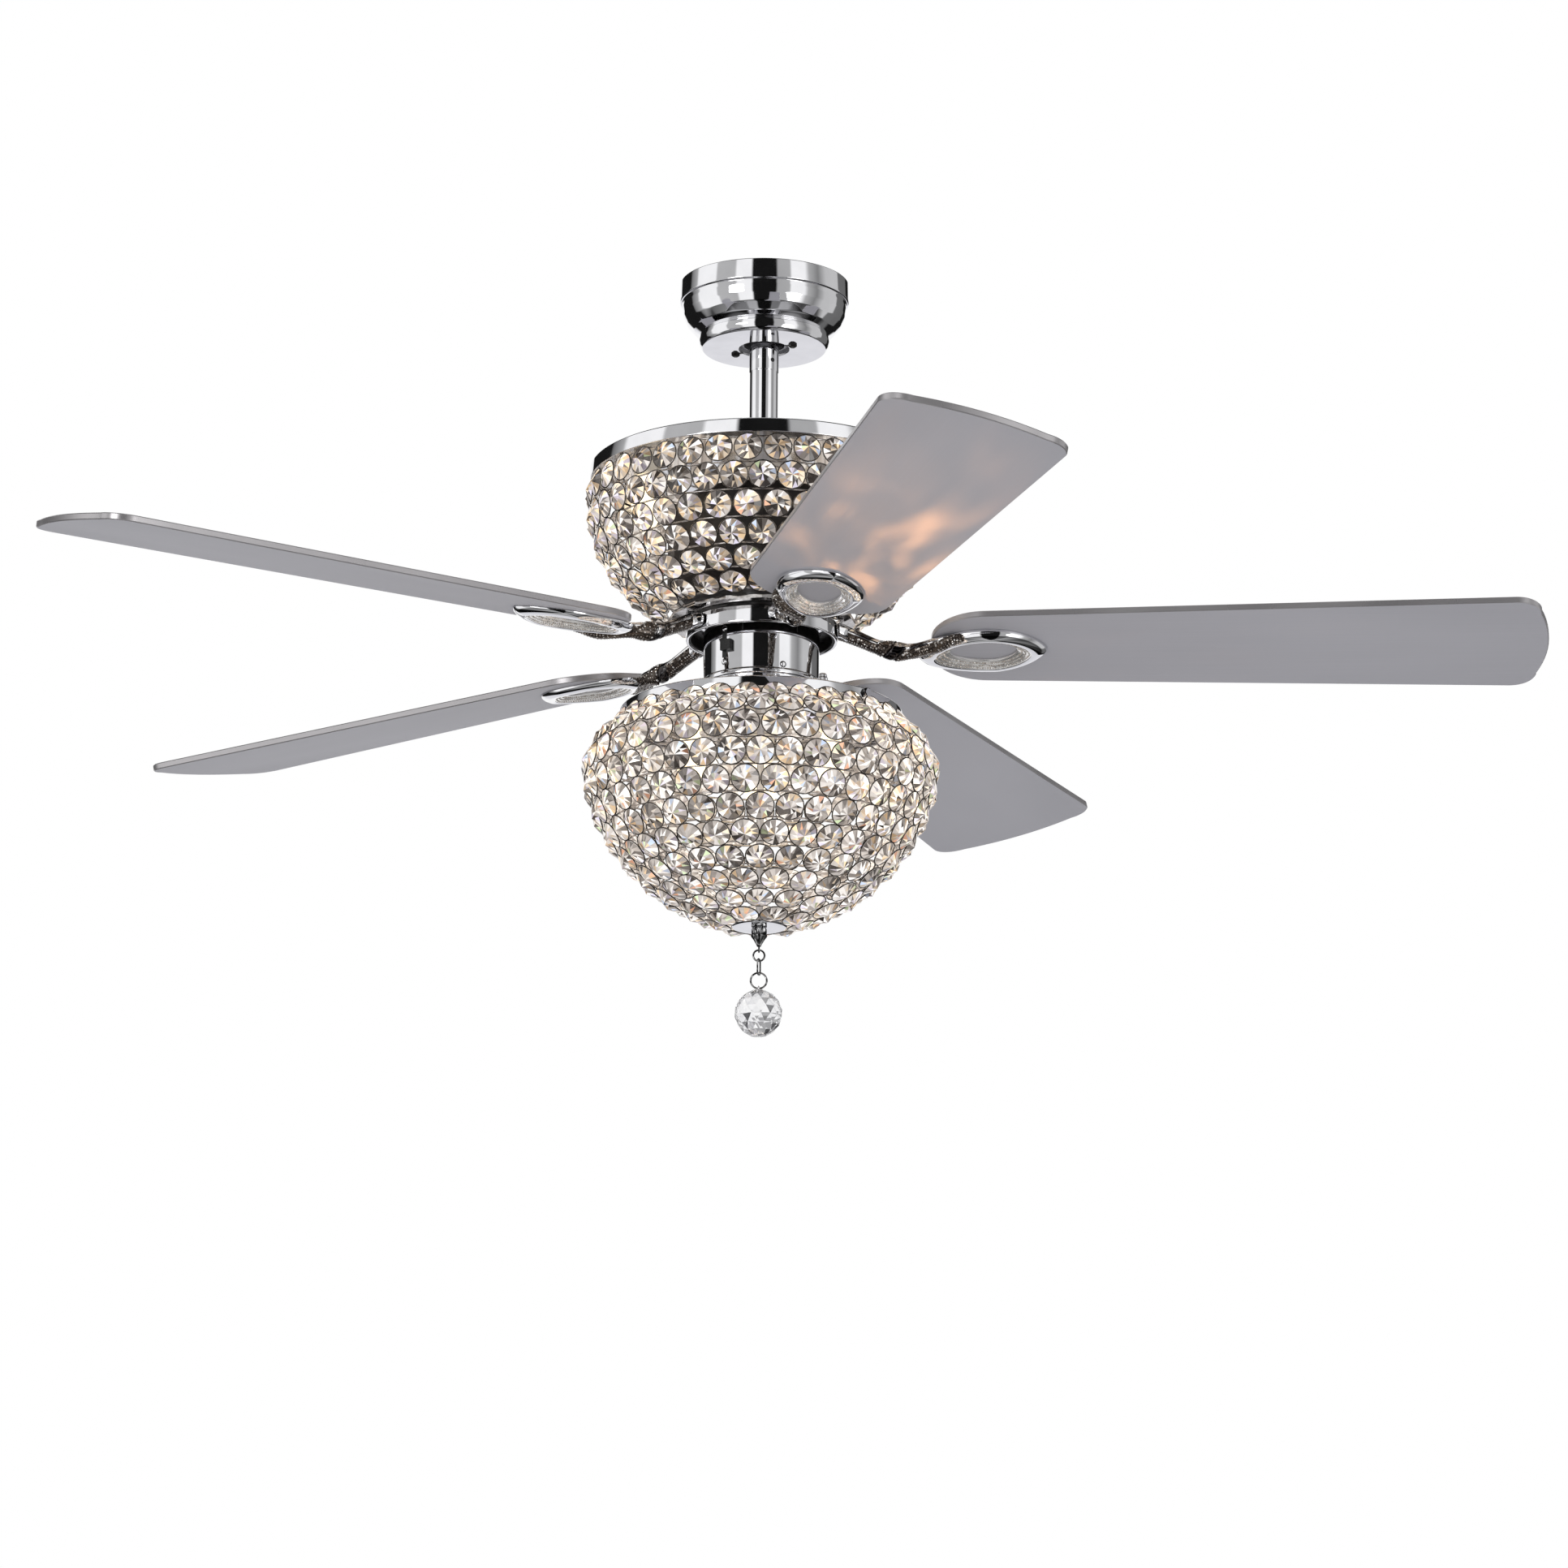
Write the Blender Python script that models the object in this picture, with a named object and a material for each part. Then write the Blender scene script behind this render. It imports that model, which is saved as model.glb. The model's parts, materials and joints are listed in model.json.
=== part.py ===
# Crystal ceiling fan: canopy, downrod, a crystal basket with three lamps above five blades
# on looped chrome irons, and a crystal bowl with three lamps and a crystal pull below.
# Metres, +Z up. The origin is the middle of the ceiling bracket's top face.

import math

import bmesh
import bpy
from mathutils import Matrix, Vector

# clearances
GAP = 0.0003
RUN_GAP = 0.0012

# ceiling bracket and canopy
BRACKET_R = 0.050
BRACKET_T = 0.0025
BRACKET_SLOT_R = 0.0027
BRACKET_SLOT_AT = 0.034
BRACKET_SLOT_LEN = 0.014
BRACKET_WIRE_R = 0.0055
BRACKET_LEG_T = 0.003
BRACKET_LEG_W = 0.022
BRACKET_LEG_AT = 0.0405
CANOPY_TOP = -0.0015
CANOPY_R = 0.072
CANOPY_WALL = 0.0015
CANOPY_BAND = 0.0165
CANOPY_BOWL_R = 0.0695
CANOPY_NECK_R = 0.0535
CANOPY_NECK_Z = -0.0470
CANOPY_LIP_R = 0.0555
CANOPY_BOTTOM = -0.0590
CANOPY_HOLE_R = 0.0215
CANOPY_SCREW_AT = 0.0275
CANOPY_SCREW_R = 0.0019
CANOPY_HEAD_R = 0.0036
CANOPY_HEAD_T = 0.0022
CANOPY_SCREW_TURN = -28.0
CANOPY_KEY_HALF = 0.0017

# hanger ball and downrod
BALL_Z = -0.0300
BALL_R = 0.0200
SOCKET_R = 0.0260
SOCKET_TOP = -0.0320
SOCKET_SEAT = -0.0420
SOCKET_MOUTH_R = 0.0176
SOCKET_FOOT_T = 0.0030
ROD_R = 0.0125
ROD_WALL = 0.0020
ROD_TOP = -0.0100
PIN_R = 0.0028
ROD_HOLE_Z = -0.0655
ROD_HOLE_R = 0.0022

# top plate, yoke and motor
PLATE_TOP = -0.1670
PLATE_R = 0.1465
PLATE_T = 0.0015
PLATE_SKIRT = 0.0120
PLATE_VENT_AT = 0.062
PLATE_VENT_R = 0.0045
VENTS = 3
VENT_TURN = 41.0
YOKE_R = 0.0190
YOKE_FLANGE_R = 0.0300
YOKE_FLANGE_T = 0.0035
YOKE_H = 0.0280
YOKE_FLOOR = 0.0045
YOKE_PIN_UP = 0.0170
SHAFT_R = 0.0075
SHAFT_COLLAR_R = 0.0200
SHAFT_COLLAR_T = 0.0060
STATOR_ROOM = 0.0170
STATOR_TOP = -0.2180
STATOR_BOTTOM = -0.2640
ROTOR_ROOM = 0.0660
ROTOR_WALL = 0.0030
ROTOR_TOP = -0.1960
ROTOR_SEAM = -0.2420
ROTOR_BOTTOM = -0.2880
ROTOR_CORNER = 0.0120
FLY_R = 0.0640
FLY_TOP = -0.3036
FLY_BOTTOM = -0.3190
FLY_BOSS_R = 0.0300
FLY_WALL = 0.0030
FLY_DISC_T = 0.0045

# blades
BLADES = 5
BLADE_TURN = -3.4
BLADE_Z = -0.3235
BLADE_PITCH = 11.3
BLADE_T = 0.0055
BLADE_ROOT = 0.1434
BLADE_TIP = 0.6600
BLADE_ROOT_W = 0.1180
BLADE_TIP_W = 0.1520
BLADE_ROOT_CORNER = 0.0480
BLADE_TIP_CORNER = 0.0220
BLADE_TIP_BOW = 0.0080

# blade irons
IRON_FOOT_R = 0.0680
IRON_FOOT_W = 0.0150
IRON_FOOT_H = 0.0110
IRON_FOOT_Z = -0.3100
IRON_DIP_R = 0.1170
IRON_DIP_Z = -0.3260
IRON_CROSS_R = 0.1540
IRON_CROSS_Z = -0.3338
IRON_LOOP_W = 0.0260
IRON_TIP_R = 0.2315
IRON_T = 0.0080
IRON_ARM_T = 0.0115
IRON_ARM_HALF = 0.0064
IRON_CROSS_HALF = 0.0060
IRON_LOOP_HALF = 0.0085
IRON_STRAND = 0.0055
IRON_PASS = 0.0012
IRON_SCREW_R = 0.0021
IRON_HEAD_R = 0.0043
IRON_HEAD_T = 0.0018
ARM_STEPS = 5
LOOP_STEPS = 9
LOOP_POWER = 1.1
SECTION_SHARES = [(-1.0, 0.2), (-0.7, 0.5), (0.7, 0.5), (1.0, 0.2), (0.0, -0.5)]

# crystal rows of both baskets
CRYSTAL_PITCH = 0.0243
CRYSTAL_OUT = 0.0052
CRYSTAL_IN = 0.0035
CRYSTAL_NECK = 0.0021
CRYSTAL_NECK_OUT = 0.0008
STRUT_HALF = 0.0015
STRUT_NEAR = 0.0008
STRUT_FAR = 0.0030
STRUTS = 3
CURVE_STEPS = 240
RIBS = 3
RIB_R = 0.0012

# upper basket
UPPER_INSET = 0.0005
UPPER_MID = -0.1970
UPPER_RISE = 0.1000
UPPER_DROP = 0.1210
UPPER_TOP = -0.1803
UPPER_END = -0.2980
UPPER_POWER = 2.05
UPPER_ROWS = 6
UPPER_RING_ROOM = 0.0010
UPPER_RING_W = 0.0155
UPPER_FOOT_ROOM = 0.0034
UPPER_FOOT_W = 0.0125
UPPER_FOOT_Z = -0.2995
RING_T = 0.0030

# lower basket
LOWER_SWELL = 0.0271
LOWER_MID = -0.4315
LOWER_RISE = 0.0767
LOWER_DROP = 0.1370
LOWER_TOP = -0.3854
LOWER_END = -0.5655
LOWER_POWER = 1.793
LOWER_ROWS = 11
LOWER_RING_ROOM = 0.0100
LOWER_RING_W = 0.0125
LOWER_FOOT_ROOM = 0.0014
LOWER_FOOT_W = 0.0125
LOWER_FOOT_Z = -0.5608

# switch housing, light kit and lamps
HOUSING_R = 0.0490
HOUSING_WALL = 0.0015
HOUSING_BEAD = 0.0012
HOUSING_BEAD_Z = -0.3565
SWITCH_TURN = 234.5
SWITCH_Z = -0.3330
SWITCH_SLOT_W = 0.0044
SWITCH_SLOT_H = 0.0120
SWITCH_KNOB_W = 0.0100
SWITCH_KNOB_H = 0.0090
SWITCH_KNOB_T = 0.0035
SWITCH_STEM_H = 0.0060
SWITCH_STEM_LEN = 0.0060
KIT_TOP = -0.3808
KIT_R = 0.1190
KIT_T = 0.0015
KIT_SKIRT = 0.0054
NUT_R = 0.0040
NUT_H = 0.0122
NUT_IN = 0.0240
NUT_TURN = 302.5
HOLDER_R = 0.0115
HOLDER_H = 0.0220
BULB_R = 0.0135
BULB_H = 0.0520
BULB_BASE_R = 0.0065
UPPER_LAMP_ROOM = 0.0050
LOWER_LAMP_ROOM = 0.0165
LAMPS = 3
LAMP_TURN = 90.0
TIE_R = 0.0030

# bottom plate, finial and pull
END_PLATE_T = 0.0025
FINIAL_R = 0.0062
FINIAL_H = 0.0062
FINIAL_FLARE = 0.0070
FINIAL_CONE = 0.0097
FINIAL_TIP_R = 0.0016
WIRE_R = 0.0008
LINK_WIRE_R = 0.0007
EYE_R = 0.0022
RING_1_R = 0.0047
LINK_R = 0.0024
LINK_HALF = 0.0044
RING_2_R = 0.0067
PULL_R = 0.0200
PULL_TAB_W = 0.0020
PULL_TAB_T = 0.0060
PULL_TAB_UP = 0.0042
PULL_HOLE_R = 0.0017
PULL_STEPS = 8
PULL_SIDES = 12

# facets round the turned pieces
WIDE_SEG = 32
MID_SEG = 24
SEG = 20
LOW_SEG = 16
THIN_SEG = 8
SMALL_SEG = 6
WIRE_SIDES = 5
BALL_STEPS = 5
CORNER_STEPS = 5
SMOOTH_ANGLE = 32.0

# shares of a neighbouring size
HALF_SHARE = 0.5
BELLY_SHARE = 0.30
DOME_SHARE = 0.65
NUT_SHARE = 1.6
STATOR_SHARE = 0.75
BOW_SHARE = 0.28
CROSS_SHARE = 0.45
TILT_SHARE = 0.5
RISE_SHARE = 4.0
TAIL_SHARE = 0.8
IRON_SCREW_SHARE = 0.27
END_SHARE = 0.93
SINK_SHARE = 0.93
RIB_SHARES = [(-1.0, -1.0), (1.0, -1.0), (0.0, 1.0)]
BULB_SHARES = [(0.12, 0.55), (0.32, 0.92), (0.48, 1.0), (0.66, 0.82), (0.84, 0.45)]

# radii that follow the two plates
UPPER_R = PLATE_R - UPPER_INSET
UPPER_END_R = UPPER_R * (1 - ((UPPER_MID - UPPER_END) / UPPER_DROP) ** UPPER_POWER) ** (1 / UPPER_POWER)
UPPER_RING_OUT = PLATE_R - PLATE_T - UPPER_RING_ROOM
UPPER_RING_IN = UPPER_RING_OUT - UPPER_RING_W
UPPER_FOOT_OUT = UPPER_END_R - UPPER_FOOT_ROOM
UPPER_FOOT_IN = UPPER_FOOT_OUT - UPPER_FOOT_W
UPPER_LAMP_AT = UPPER_RING_IN - UPPER_LAMP_ROOM - HOLDER_R
ROTOR_R = UPPER_R - ROTOR_ROOM
STATOR_R = ROTOR_R - ROTOR_WALL - STATOR_ROOM
LOWER_R = KIT_R + LOWER_SWELL
LOWER_END_R = LOWER_R * (1 - ((LOWER_MID - LOWER_END) / LOWER_DROP) ** LOWER_POWER) ** (1 / LOWER_POWER)
LOWER_RING_OUT = KIT_R - KIT_T - LOWER_RING_ROOM
LOWER_RING_IN = LOWER_RING_OUT - LOWER_RING_W
LOWER_FOOT_OUT = LOWER_END_R - LOWER_FOOT_ROOM
LOWER_FOOT_IN = LOWER_FOOT_OUT - LOWER_FOOT_W
LOWER_LAMP_AT = LOWER_RING_IN - LOWER_LAMP_ROOM - HOLDER_R
END_PLATE_R = LOWER_END_R - GAP
NUT_AT = KIT_R - NUT_IN

# the two side screws of each iron sit on the middle of its strands
IRON_SCREW_AT = IRON_CROSS_R + (IRON_TIP_R - IRON_CROSS_R) * IRON_SCREW_SHARE
IRON_SCREW_SIDE = IRON_LOOP_W * math.sin(math.acos(1 - 2 * IRON_SCREW_SHARE)) ** LOOP_POWER

# heights of the housing, and from the bowl's foot down to the pull
HOUSING_TOP = FLY_TOP - FLY_DISC_T - 2 * RUN_GAP
END_PLATE_TOP = LOWER_FOOT_Z - RING_T - GAP
FINIAL_TOP = END_PLATE_TOP - END_PLATE_T - GAP
CONE_TOP = FINIAL_TOP - FINIAL_H
CONE_END = CONE_TOP - FINIAL_CONE
EYE_Z = CONE_END - EYE_R
JOIN_1 = EYE_Z - EYE_R + LINK_WIRE_R + GAP / 2
RING_1_Z = JOIN_1 + GAP / 2 + WIRE_R - RING_1_R
JOIN_2 = RING_1_Z - RING_1_R + WIRE_R + GAP / 2
LINK_TOP = JOIN_2 + GAP / 2 + LINK_WIRE_R
LINK_Z = LINK_TOP - LINK_R - LINK_HALF
JOIN_3 = LINK_Z - LINK_HALF - LINK_R + LINK_WIRE_R + GAP / 2
RING_2_Z = JOIN_3 + GAP / 2 + WIRE_R - RING_2_R
JOIN_4 = RING_2_Z - RING_2_R + WIRE_R + GAP / 2
PULL_HOLE_Z = JOIN_4 + GAP * 2 - PULL_HOLE_R
PULL_Z = PULL_HOLE_Z + PULL_HOLE_R - PULL_TAB_UP - PULL_R * SINK_SHARE

CHROME = ("chrome", (0.80, 0.80, 0.82, 1.0), 1.0, 0.08)
STEEL = ("brushed_steel", (0.52, 0.52, 0.55, 1.0), 1.0, 0.38)
DARK = ("dark_motor_paint", (0.03, 0.03, 0.035, 1.0), 0.3, 0.5)
CRYSTAL = ("crystal", (0.93, 0.86, 0.78, 1.0), 0.0, 0.05)
BLACK = ("black_plastic", (0.02, 0.02, 0.02, 1.0), 0.0, 0.4)
BLADE = ("silver_blade", (0.42, 0.42, 0.45, 1.0), 0.6, 0.42)
BULB = ("bulb_glass", (1.0, 0.85, 0.62, 1.0), 0.0, 0.2)
PORCELAIN = ("lamp_holder", (0.85, 0.82, 0.76, 1.0), 0.0, 0.5)

HANG = Vector((0, 0, BALL_Z))
AXIS = Vector((0, 0, 0))


def clear_scene():
    for old in list(bpy.data.objects):
        bpy.data.objects.remove(old)


def material(spec):
    name, colour, metallic, roughness = spec
    found = bpy.data.materials.get(name)
    if found:
        return found
    made = bpy.data.materials.new(name)
    made.use_nodes = True
    shader = made.node_tree.nodes["Principled BSDF"]
    shader.inputs["Base Color"].default_value = colour
    shader.inputs["Metallic"].default_value = metallic
    shader.inputs["Roughness"].default_value = roughness
    return made


def mesh_from(bm, name):
    bmesh.ops.recalc_face_normals(bm, faces=bm.faces)
    mesh = bpy.data.meshes.new(name)
    bm.to_mesh(mesh)
    bm.free()
    return mesh


def node(name, bm, spec, pivot, smooth=True):
    mesh = mesh_from(bm, name)
    obj = bpy.data.objects.new(name, mesh)
    bpy.context.scene.collection.objects.link(obj)
    own = material(spec).copy()
    own.name = name + "_finish"
    mesh.materials.append(own)
    shade(obj, smooth)
    obj["pivot"] = list(pivot)
    return obj


def shade(obj, smooth):
    obj.data.polygons.foreach_set("use_smooth", [smooth] * len(obj.data.polygons))
    if smooth:
        obj.data.set_sharp_from_angle(angle=math.radians(SMOOTH_ANGLE))


def settle(obj):
    pivot = Vector(obj["pivot"])
    obj.data.transform(Matrix.Translation(-pivot))
    obj.location = pivot
    del obj["pivot"]


def combine(obj, bm, operation):
    tool = bpy.data.objects.new("tool", mesh_from(bm, "tool"))
    bpy.context.scene.collection.objects.link(tool)
    tool.hide_render = True
    tool.display_type = "WIRE"
    change = obj.modifiers.new("combine", "BOOLEAN")
    change.operation = operation
    change.solver = "EXACT"
    change.object = tool
    graph = bpy.context.evaluated_depsgraph_get()
    made = bpy.data.meshes.new_from_object(obj.evaluated_get(graph))
    old = obj.data
    obj.modifiers.clear()
    obj.data = made
    bpy.data.meshes.remove(old)
    bpy.data.objects.remove(tool)
    return obj


def lathe(profile, seg, bm=None, about=Matrix()):
    bm = bm or bmesh.new()
    rings = []
    for radius, z in profile:
        if radius == 0:
            rings.append([bm.verts.new(about @ Vector((0, 0, z)))] * seg)
            continue
        turn = [2 * math.pi * i / seg for i in range(seg)]
        points = [Vector((radius * math.cos(a), radius * math.sin(a), z)) for a in turn]
        rings.append([bm.verts.new(about @ point) for point in points])
    pairs = list(zip(rings, rings[1:]))
    if profile[0][0] != 0:
        pairs.append((rings[-1], rings[0]))
    for low, high in pairs:
        for i in range(seg):
            j = (i + 1) % seg
            corners = []
            for corner in (low[i], low[j], high[j], high[i]):
                if corner not in corners:
                    corners.append(corner)
            if len(corners) > 2:
                bm.faces.new(corners)
    return bm


def rod(radius, low, high, seg, about=Matrix(), bm=None):
    return lathe([(0, low), (radius, low), (radius, high), (0, high)], seg, bm, about)


def cross_rod(radius, half, centre, seg):
    turn = Matrix.Translation(centre) @ Matrix.Rotation(math.radians(90), 4, "Y")
    return rod(radius, -half, half, seg, turn)


def hexahedron(bm, corners):
    v = [bm.verts.new(corner) for corner in corners]
    for face in ((0, 1, 2, 3), (7, 6, 5, 4), (0, 4, 5, 1), (1, 5, 6, 2), (2, 6, 7, 3), (3, 7, 4, 0)):
        bm.faces.new([v[i] for i in face])
    return bm


def block(low, high, about=Matrix(), bm=None):
    bm = bm or bmesh.new()
    corners = []
    for z in (low[2], high[2]):
        corners += [(low[0], low[1], z), (high[0], low[1], z), (high[0], high[1], z), (low[0], high[1], z)]
    return hexahedron(bm, [about @ Vector(corner) for corner in corners])


def turned(angle, radius=0.0, z=0.0):
    a = math.radians(angle)
    return Matrix.Translation((radius * math.cos(a), radius * math.sin(a), z))


# ceiling bracket: slotted plate, two legs and the socket ring that holds the ball

def ceiling_bracket():
    foot = CANOPY_BOTTOM + CANOPY_WALL + GAP + CANOPY_HEAD_T
    obj = node("ceiling_bracket", rod(BRACKET_R, -BRACKET_T, 0, SEG), STEEL, AXIS)
    inner = BRACKET_LEG_AT
    outer = inner + BRACKET_LEG_T
    for side in (1, -1):
        along = (Matrix.Rotation(math.radians(CANOPY_SCREW_TURN), 4, "Z")
                 @ Matrix.Rotation(0 if side > 0 else math.pi, 4, "Z"))
        leg = block((inner, -BRACKET_LEG_W / 2, foot), (outer, BRACKET_LEG_W / 2, -BRACKET_T / 2), along)
        combine(obj, leg, "UNION")
        near = SOCKET_R - BRACKET_LEG_T
        arm = block((near, -BRACKET_LEG_W / 3, foot + BRACKET_T / 4),
                    (inner + BRACKET_LEG_T / 2, BRACKET_LEG_W / 3, foot + SOCKET_FOOT_T), along)
        combine(obj, arm, "UNION")
    reach = BALL_R + GAP
    seat = math.sqrt(reach ** 2 - (BALL_Z - SOCKET_SEAT) ** 2)
    top = math.sqrt(reach ** 2 - (BALL_Z - SOCKET_TOP) ** 2)
    low = foot - BRACKET_T / 4
    mid_z = (SOCKET_TOP + SOCKET_SEAT) / 2
    mid = math.sqrt(reach ** 2 - (BALL_Z - mid_z) ** 2) + GAP
    socket = lathe([(SOCKET_R, SOCKET_TOP), (SOCKET_R, low), (SOCKET_MOUTH_R, low),
                    (seat + GAP, SOCKET_SEAT), (mid, mid_z), (top + GAP, SOCKET_TOP)], SEG)
    combine(obj, socket, "UNION")
    for side in (1, -1):
        slot = BRACKET_SLOT_R
        half = BRACKET_SLOT_LEN / 2
        centre = Matrix.Rotation(math.radians(CANOPY_SCREW_TURN + 90), 4, "Z")
        low_z = -BRACKET_T * 2
        at = side * BRACKET_SLOT_AT
        cut = block((at - slot, -half, low_z), (at + slot, half, BRACKET_T), centre)
        combine(obj, cut, "DIFFERENCE")
        wire = turned(CANOPY_SCREW_TURN + 90, side * (BRACKET_SLOT_AT - 3 * slot - half))
        combine(obj, rod(BRACKET_WIRE_R, low_z, BRACKET_T, SMALL_SEG, wire), "DIFFERENCE")
    for side in (0, 180):
        at = turned(CANOPY_SCREW_TURN + side, CANOPY_SCREW_AT)
        hole = rod(CANOPY_SCREW_R + GAP, foot - BRACKET_T, foot + SOCKET_FOOT_T * 2, SMALL_SEG, at)
        combine(obj, hole, "DIFFERENCE")
    return obj


def canopy():
    wall = CANOPY_WALL
    band = CANOPY_TOP - CANOPY_BAND
    belly = (band + CANOPY_NECK_Z) / 2
    belly_r = (CANOPY_BOWL_R + CANOPY_NECK_R) / 2 + (CANOPY_BOWL_R - CANOPY_NECK_R) * BELLY_SHARE
    outside = [(CANOPY_R, CANOPY_TOP), (CANOPY_R, band), (CANOPY_BOWL_R, band - wall / 3),
               (belly_r, belly), (CANOPY_NECK_R, CANOPY_NECK_Z),
               (CANOPY_LIP_R, CANOPY_NECK_Z - wall), (CANOPY_LIP_R - wall, CANOPY_BOTTOM),
               (CANOPY_HOLE_R, CANOPY_BOTTOM)]
    inside = [(CANOPY_HOLE_R, CANOPY_BOTTOM + wall), (CANOPY_NECK_R - wall, CANOPY_BOTTOM + wall),
              (CANOPY_NECK_R - wall, CANOPY_NECK_Z), (belly_r - wall, belly),
              (CANOPY_BOWL_R - wall, band), (CANOPY_R - wall, CANOPY_TOP)]
    obj = node("canopy", lathe(outside + inside, MID_SEG), CHROME, AXIS)
    low = CANOPY_BOTTOM - wall
    high = CANOPY_BOTTOM + wall * 2
    for side in (0, 180):
        turn = turned(CANOPY_SCREW_TURN + side)
        key = block((CANOPY_HOLE_R / 2, -CANOPY_KEY_HALF, low), (CANOPY_SCREW_AT, CANOPY_KEY_HALF, high), turn)
        combine(obj, key, "DIFFERENCE")
        at = turned(CANOPY_SCREW_TURN + side, CANOPY_SCREW_AT)
        combine(obj, rod(CANOPY_SCREW_R + GAP, low, high, SMALL_SEG, at), "DIFFERENCE")
    return obj


def canopy_screw(index):
    at = turned(CANOPY_SCREW_TURN + 180 * index, CANOPY_SCREW_AT)
    under = CANOPY_BOTTOM - GAP
    top = CANOPY_BOTTOM + CANOPY_WALL + CANOPY_HEAD_T + SOCKET_FOOT_T + GAP
    screw = [(0, under - CANOPY_HEAD_T), (CANOPY_HEAD_R * DOME_SHARE, under - CANOPY_HEAD_T),
             (CANOPY_HEAD_R, under - CANOPY_HEAD_T / 2), (CANOPY_HEAD_R, under),
             (CANOPY_SCREW_R, under), (CANOPY_SCREW_R, top), (0, top)]
    return node("canopy_screw_%d" % (index + 1), lathe(screw, SMALL_SEG, about=at), DARK, AXIS)


# hanger ball, its pin and the downrod

def hanger_ball():
    bore = ROD_R + GAP
    end = math.sqrt(BALL_R ** 2 - (bore + ROD_WALL) ** 2)
    first = math.asin(end / BALL_R)
    angles = [first - 2 * first * i / BALL_STEPS for i in range(BALL_STEPS + 1)]
    outside = [(BALL_R * math.cos(a), BALL_Z + BALL_R * math.sin(a)) for a in angles]
    obj = node("hanger_ball", lathe(outside + [(bore, BALL_Z - end), (bore, BALL_Z + end)], SEG), BLACK, HANG)
    return combine(obj, cross_rod(PIN_R + GAP, BALL_R * 2, HANG, SMALL_SEG), "DIFFERENCE")


def hanger_pin():
    return node("hanger_pin", cross_rod(PIN_R, BALL_R - BRACKET_T, HANG, SMALL_SEG), STEEL, HANG)


def downrod():
    low = PLATE_TOP + GAP + YOKE_FLOOR + GAP
    bore = ROD_R - ROD_WALL
    tube = [(ROD_R, ROD_TOP), (ROD_R, low), (bore, low), (bore, ROD_TOP)]
    obj = node("downrod", lathe(tube, LOW_SEG), CHROME, HANG)
    combine(obj, cross_rod(PIN_R + GAP, BALL_R * 2, HANG, SMALL_SEG), "DIFFERENCE")
    turn = Matrix.Translation((0, 0, ROD_HOLE_Z)) @ Matrix.Rotation(math.radians(90), 4, "X")
    combine(obj, rod(ROD_HOLE_R, -BALL_R, BALL_R, SMALL_SEG, turn), "DIFFERENCE")
    pin_z = PLATE_TOP + YOKE_PIN_UP
    return combine(obj, cross_rod(PIN_R + GAP, BALL_R * 2, Vector((0, 0, pin_z)), SMALL_SEG), "DIFFERENCE")


def motor_yoke():
    low = PLATE_TOP + GAP
    bore = ROD_R + GAP
    cup = [(0, low), (YOKE_FLANGE_R, low), (YOKE_FLANGE_R, low + YOKE_FLANGE_T),
           (YOKE_R, low + YOKE_FLANGE_T + GAP * 4), (YOKE_R, low + YOKE_H), (bore, low + YOKE_H),
           (bore, low + YOKE_FLOOR), (0, low + YOKE_FLOOR)]
    obj = node("motor_yoke", lathe(cup, LOW_SEG), DARK, HANG)
    pin_z = PLATE_TOP + YOKE_PIN_UP
    return combine(obj, cross_rod(PIN_R + GAP, BALL_R * 2, Vector((0, 0, pin_z)), SMALL_SEG), "DIFFERENCE")


def yoke_pin():
    pin_z = PLATE_TOP + YOKE_PIN_UP
    return node("yoke_pin", cross_rod(PIN_R, YOKE_R + PIN_R, Vector((0, 0, pin_z)), SMALL_SEG), STEEL, HANG)


# top plate of the upper basket, with a turned-down rim and vent holes

def top_plate():
    low = PLATE_TOP - PLATE_T
    edge = PLATE_TOP - PLATE_SKIRT
    inner = PLATE_R - PLATE_T
    bore = SHAFT_R + GAP
    pan = [(bore, PLATE_TOP), (PLATE_R, PLATE_TOP), (PLATE_R, edge), (inner, edge), (inner, low), (bore, low)]
    obj = node("top_plate", lathe(pan, WIDE_SEG), CHROME, HANG)
    for i in range(VENTS):
        at = turned(360 * i / VENTS + VENT_TURN, PLATE_VENT_AT)
        combine(obj, rod(PLATE_VENT_R, low * 2, 0, SMALL_SEG, at), "DIFFERENCE")
    return obj


# motor: fixed shaft and stator, turning caps and flywheel

def motor_shaft():
    top = PLATE_TOP - PLATE_T - GAP
    under = top - SHAFT_COLLAR_T
    stub = PLATE_TOP
    shelf = HOUSING_TOP - HOUSING_WALL - GAP
    end = shelf - SHAFT_COLLAR_T
    nut = SHAFT_R * NUT_SHARE
    shape = [(0, stub), (SHAFT_R, stub), (SHAFT_R, top), (SHAFT_COLLAR_R, top), (SHAFT_COLLAR_R, under),
             (SHAFT_R, under), (SHAFT_R, shelf), (nut, shelf), (nut, end), (0, end)]
    return node("motor_shaft", lathe(shape, LOW_SEG), STEEL, HANG)


def stator():
    bore = SHAFT_R + GAP
    step = STATOR_R * STATOR_SHARE
    rise = (STATOR_TOP - STATOR_BOTTOM) / 6
    shape = [(bore, STATOR_TOP), (step, STATOR_TOP), (STATOR_R, STATOR_TOP - rise),
             (STATOR_R, STATOR_BOTTOM + rise), (step, STATOR_BOTTOM), (bore, STATOR_BOTTOM)]
    return node("stator", lathe(shape, LOW_SEG), DARK, HANG)


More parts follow.
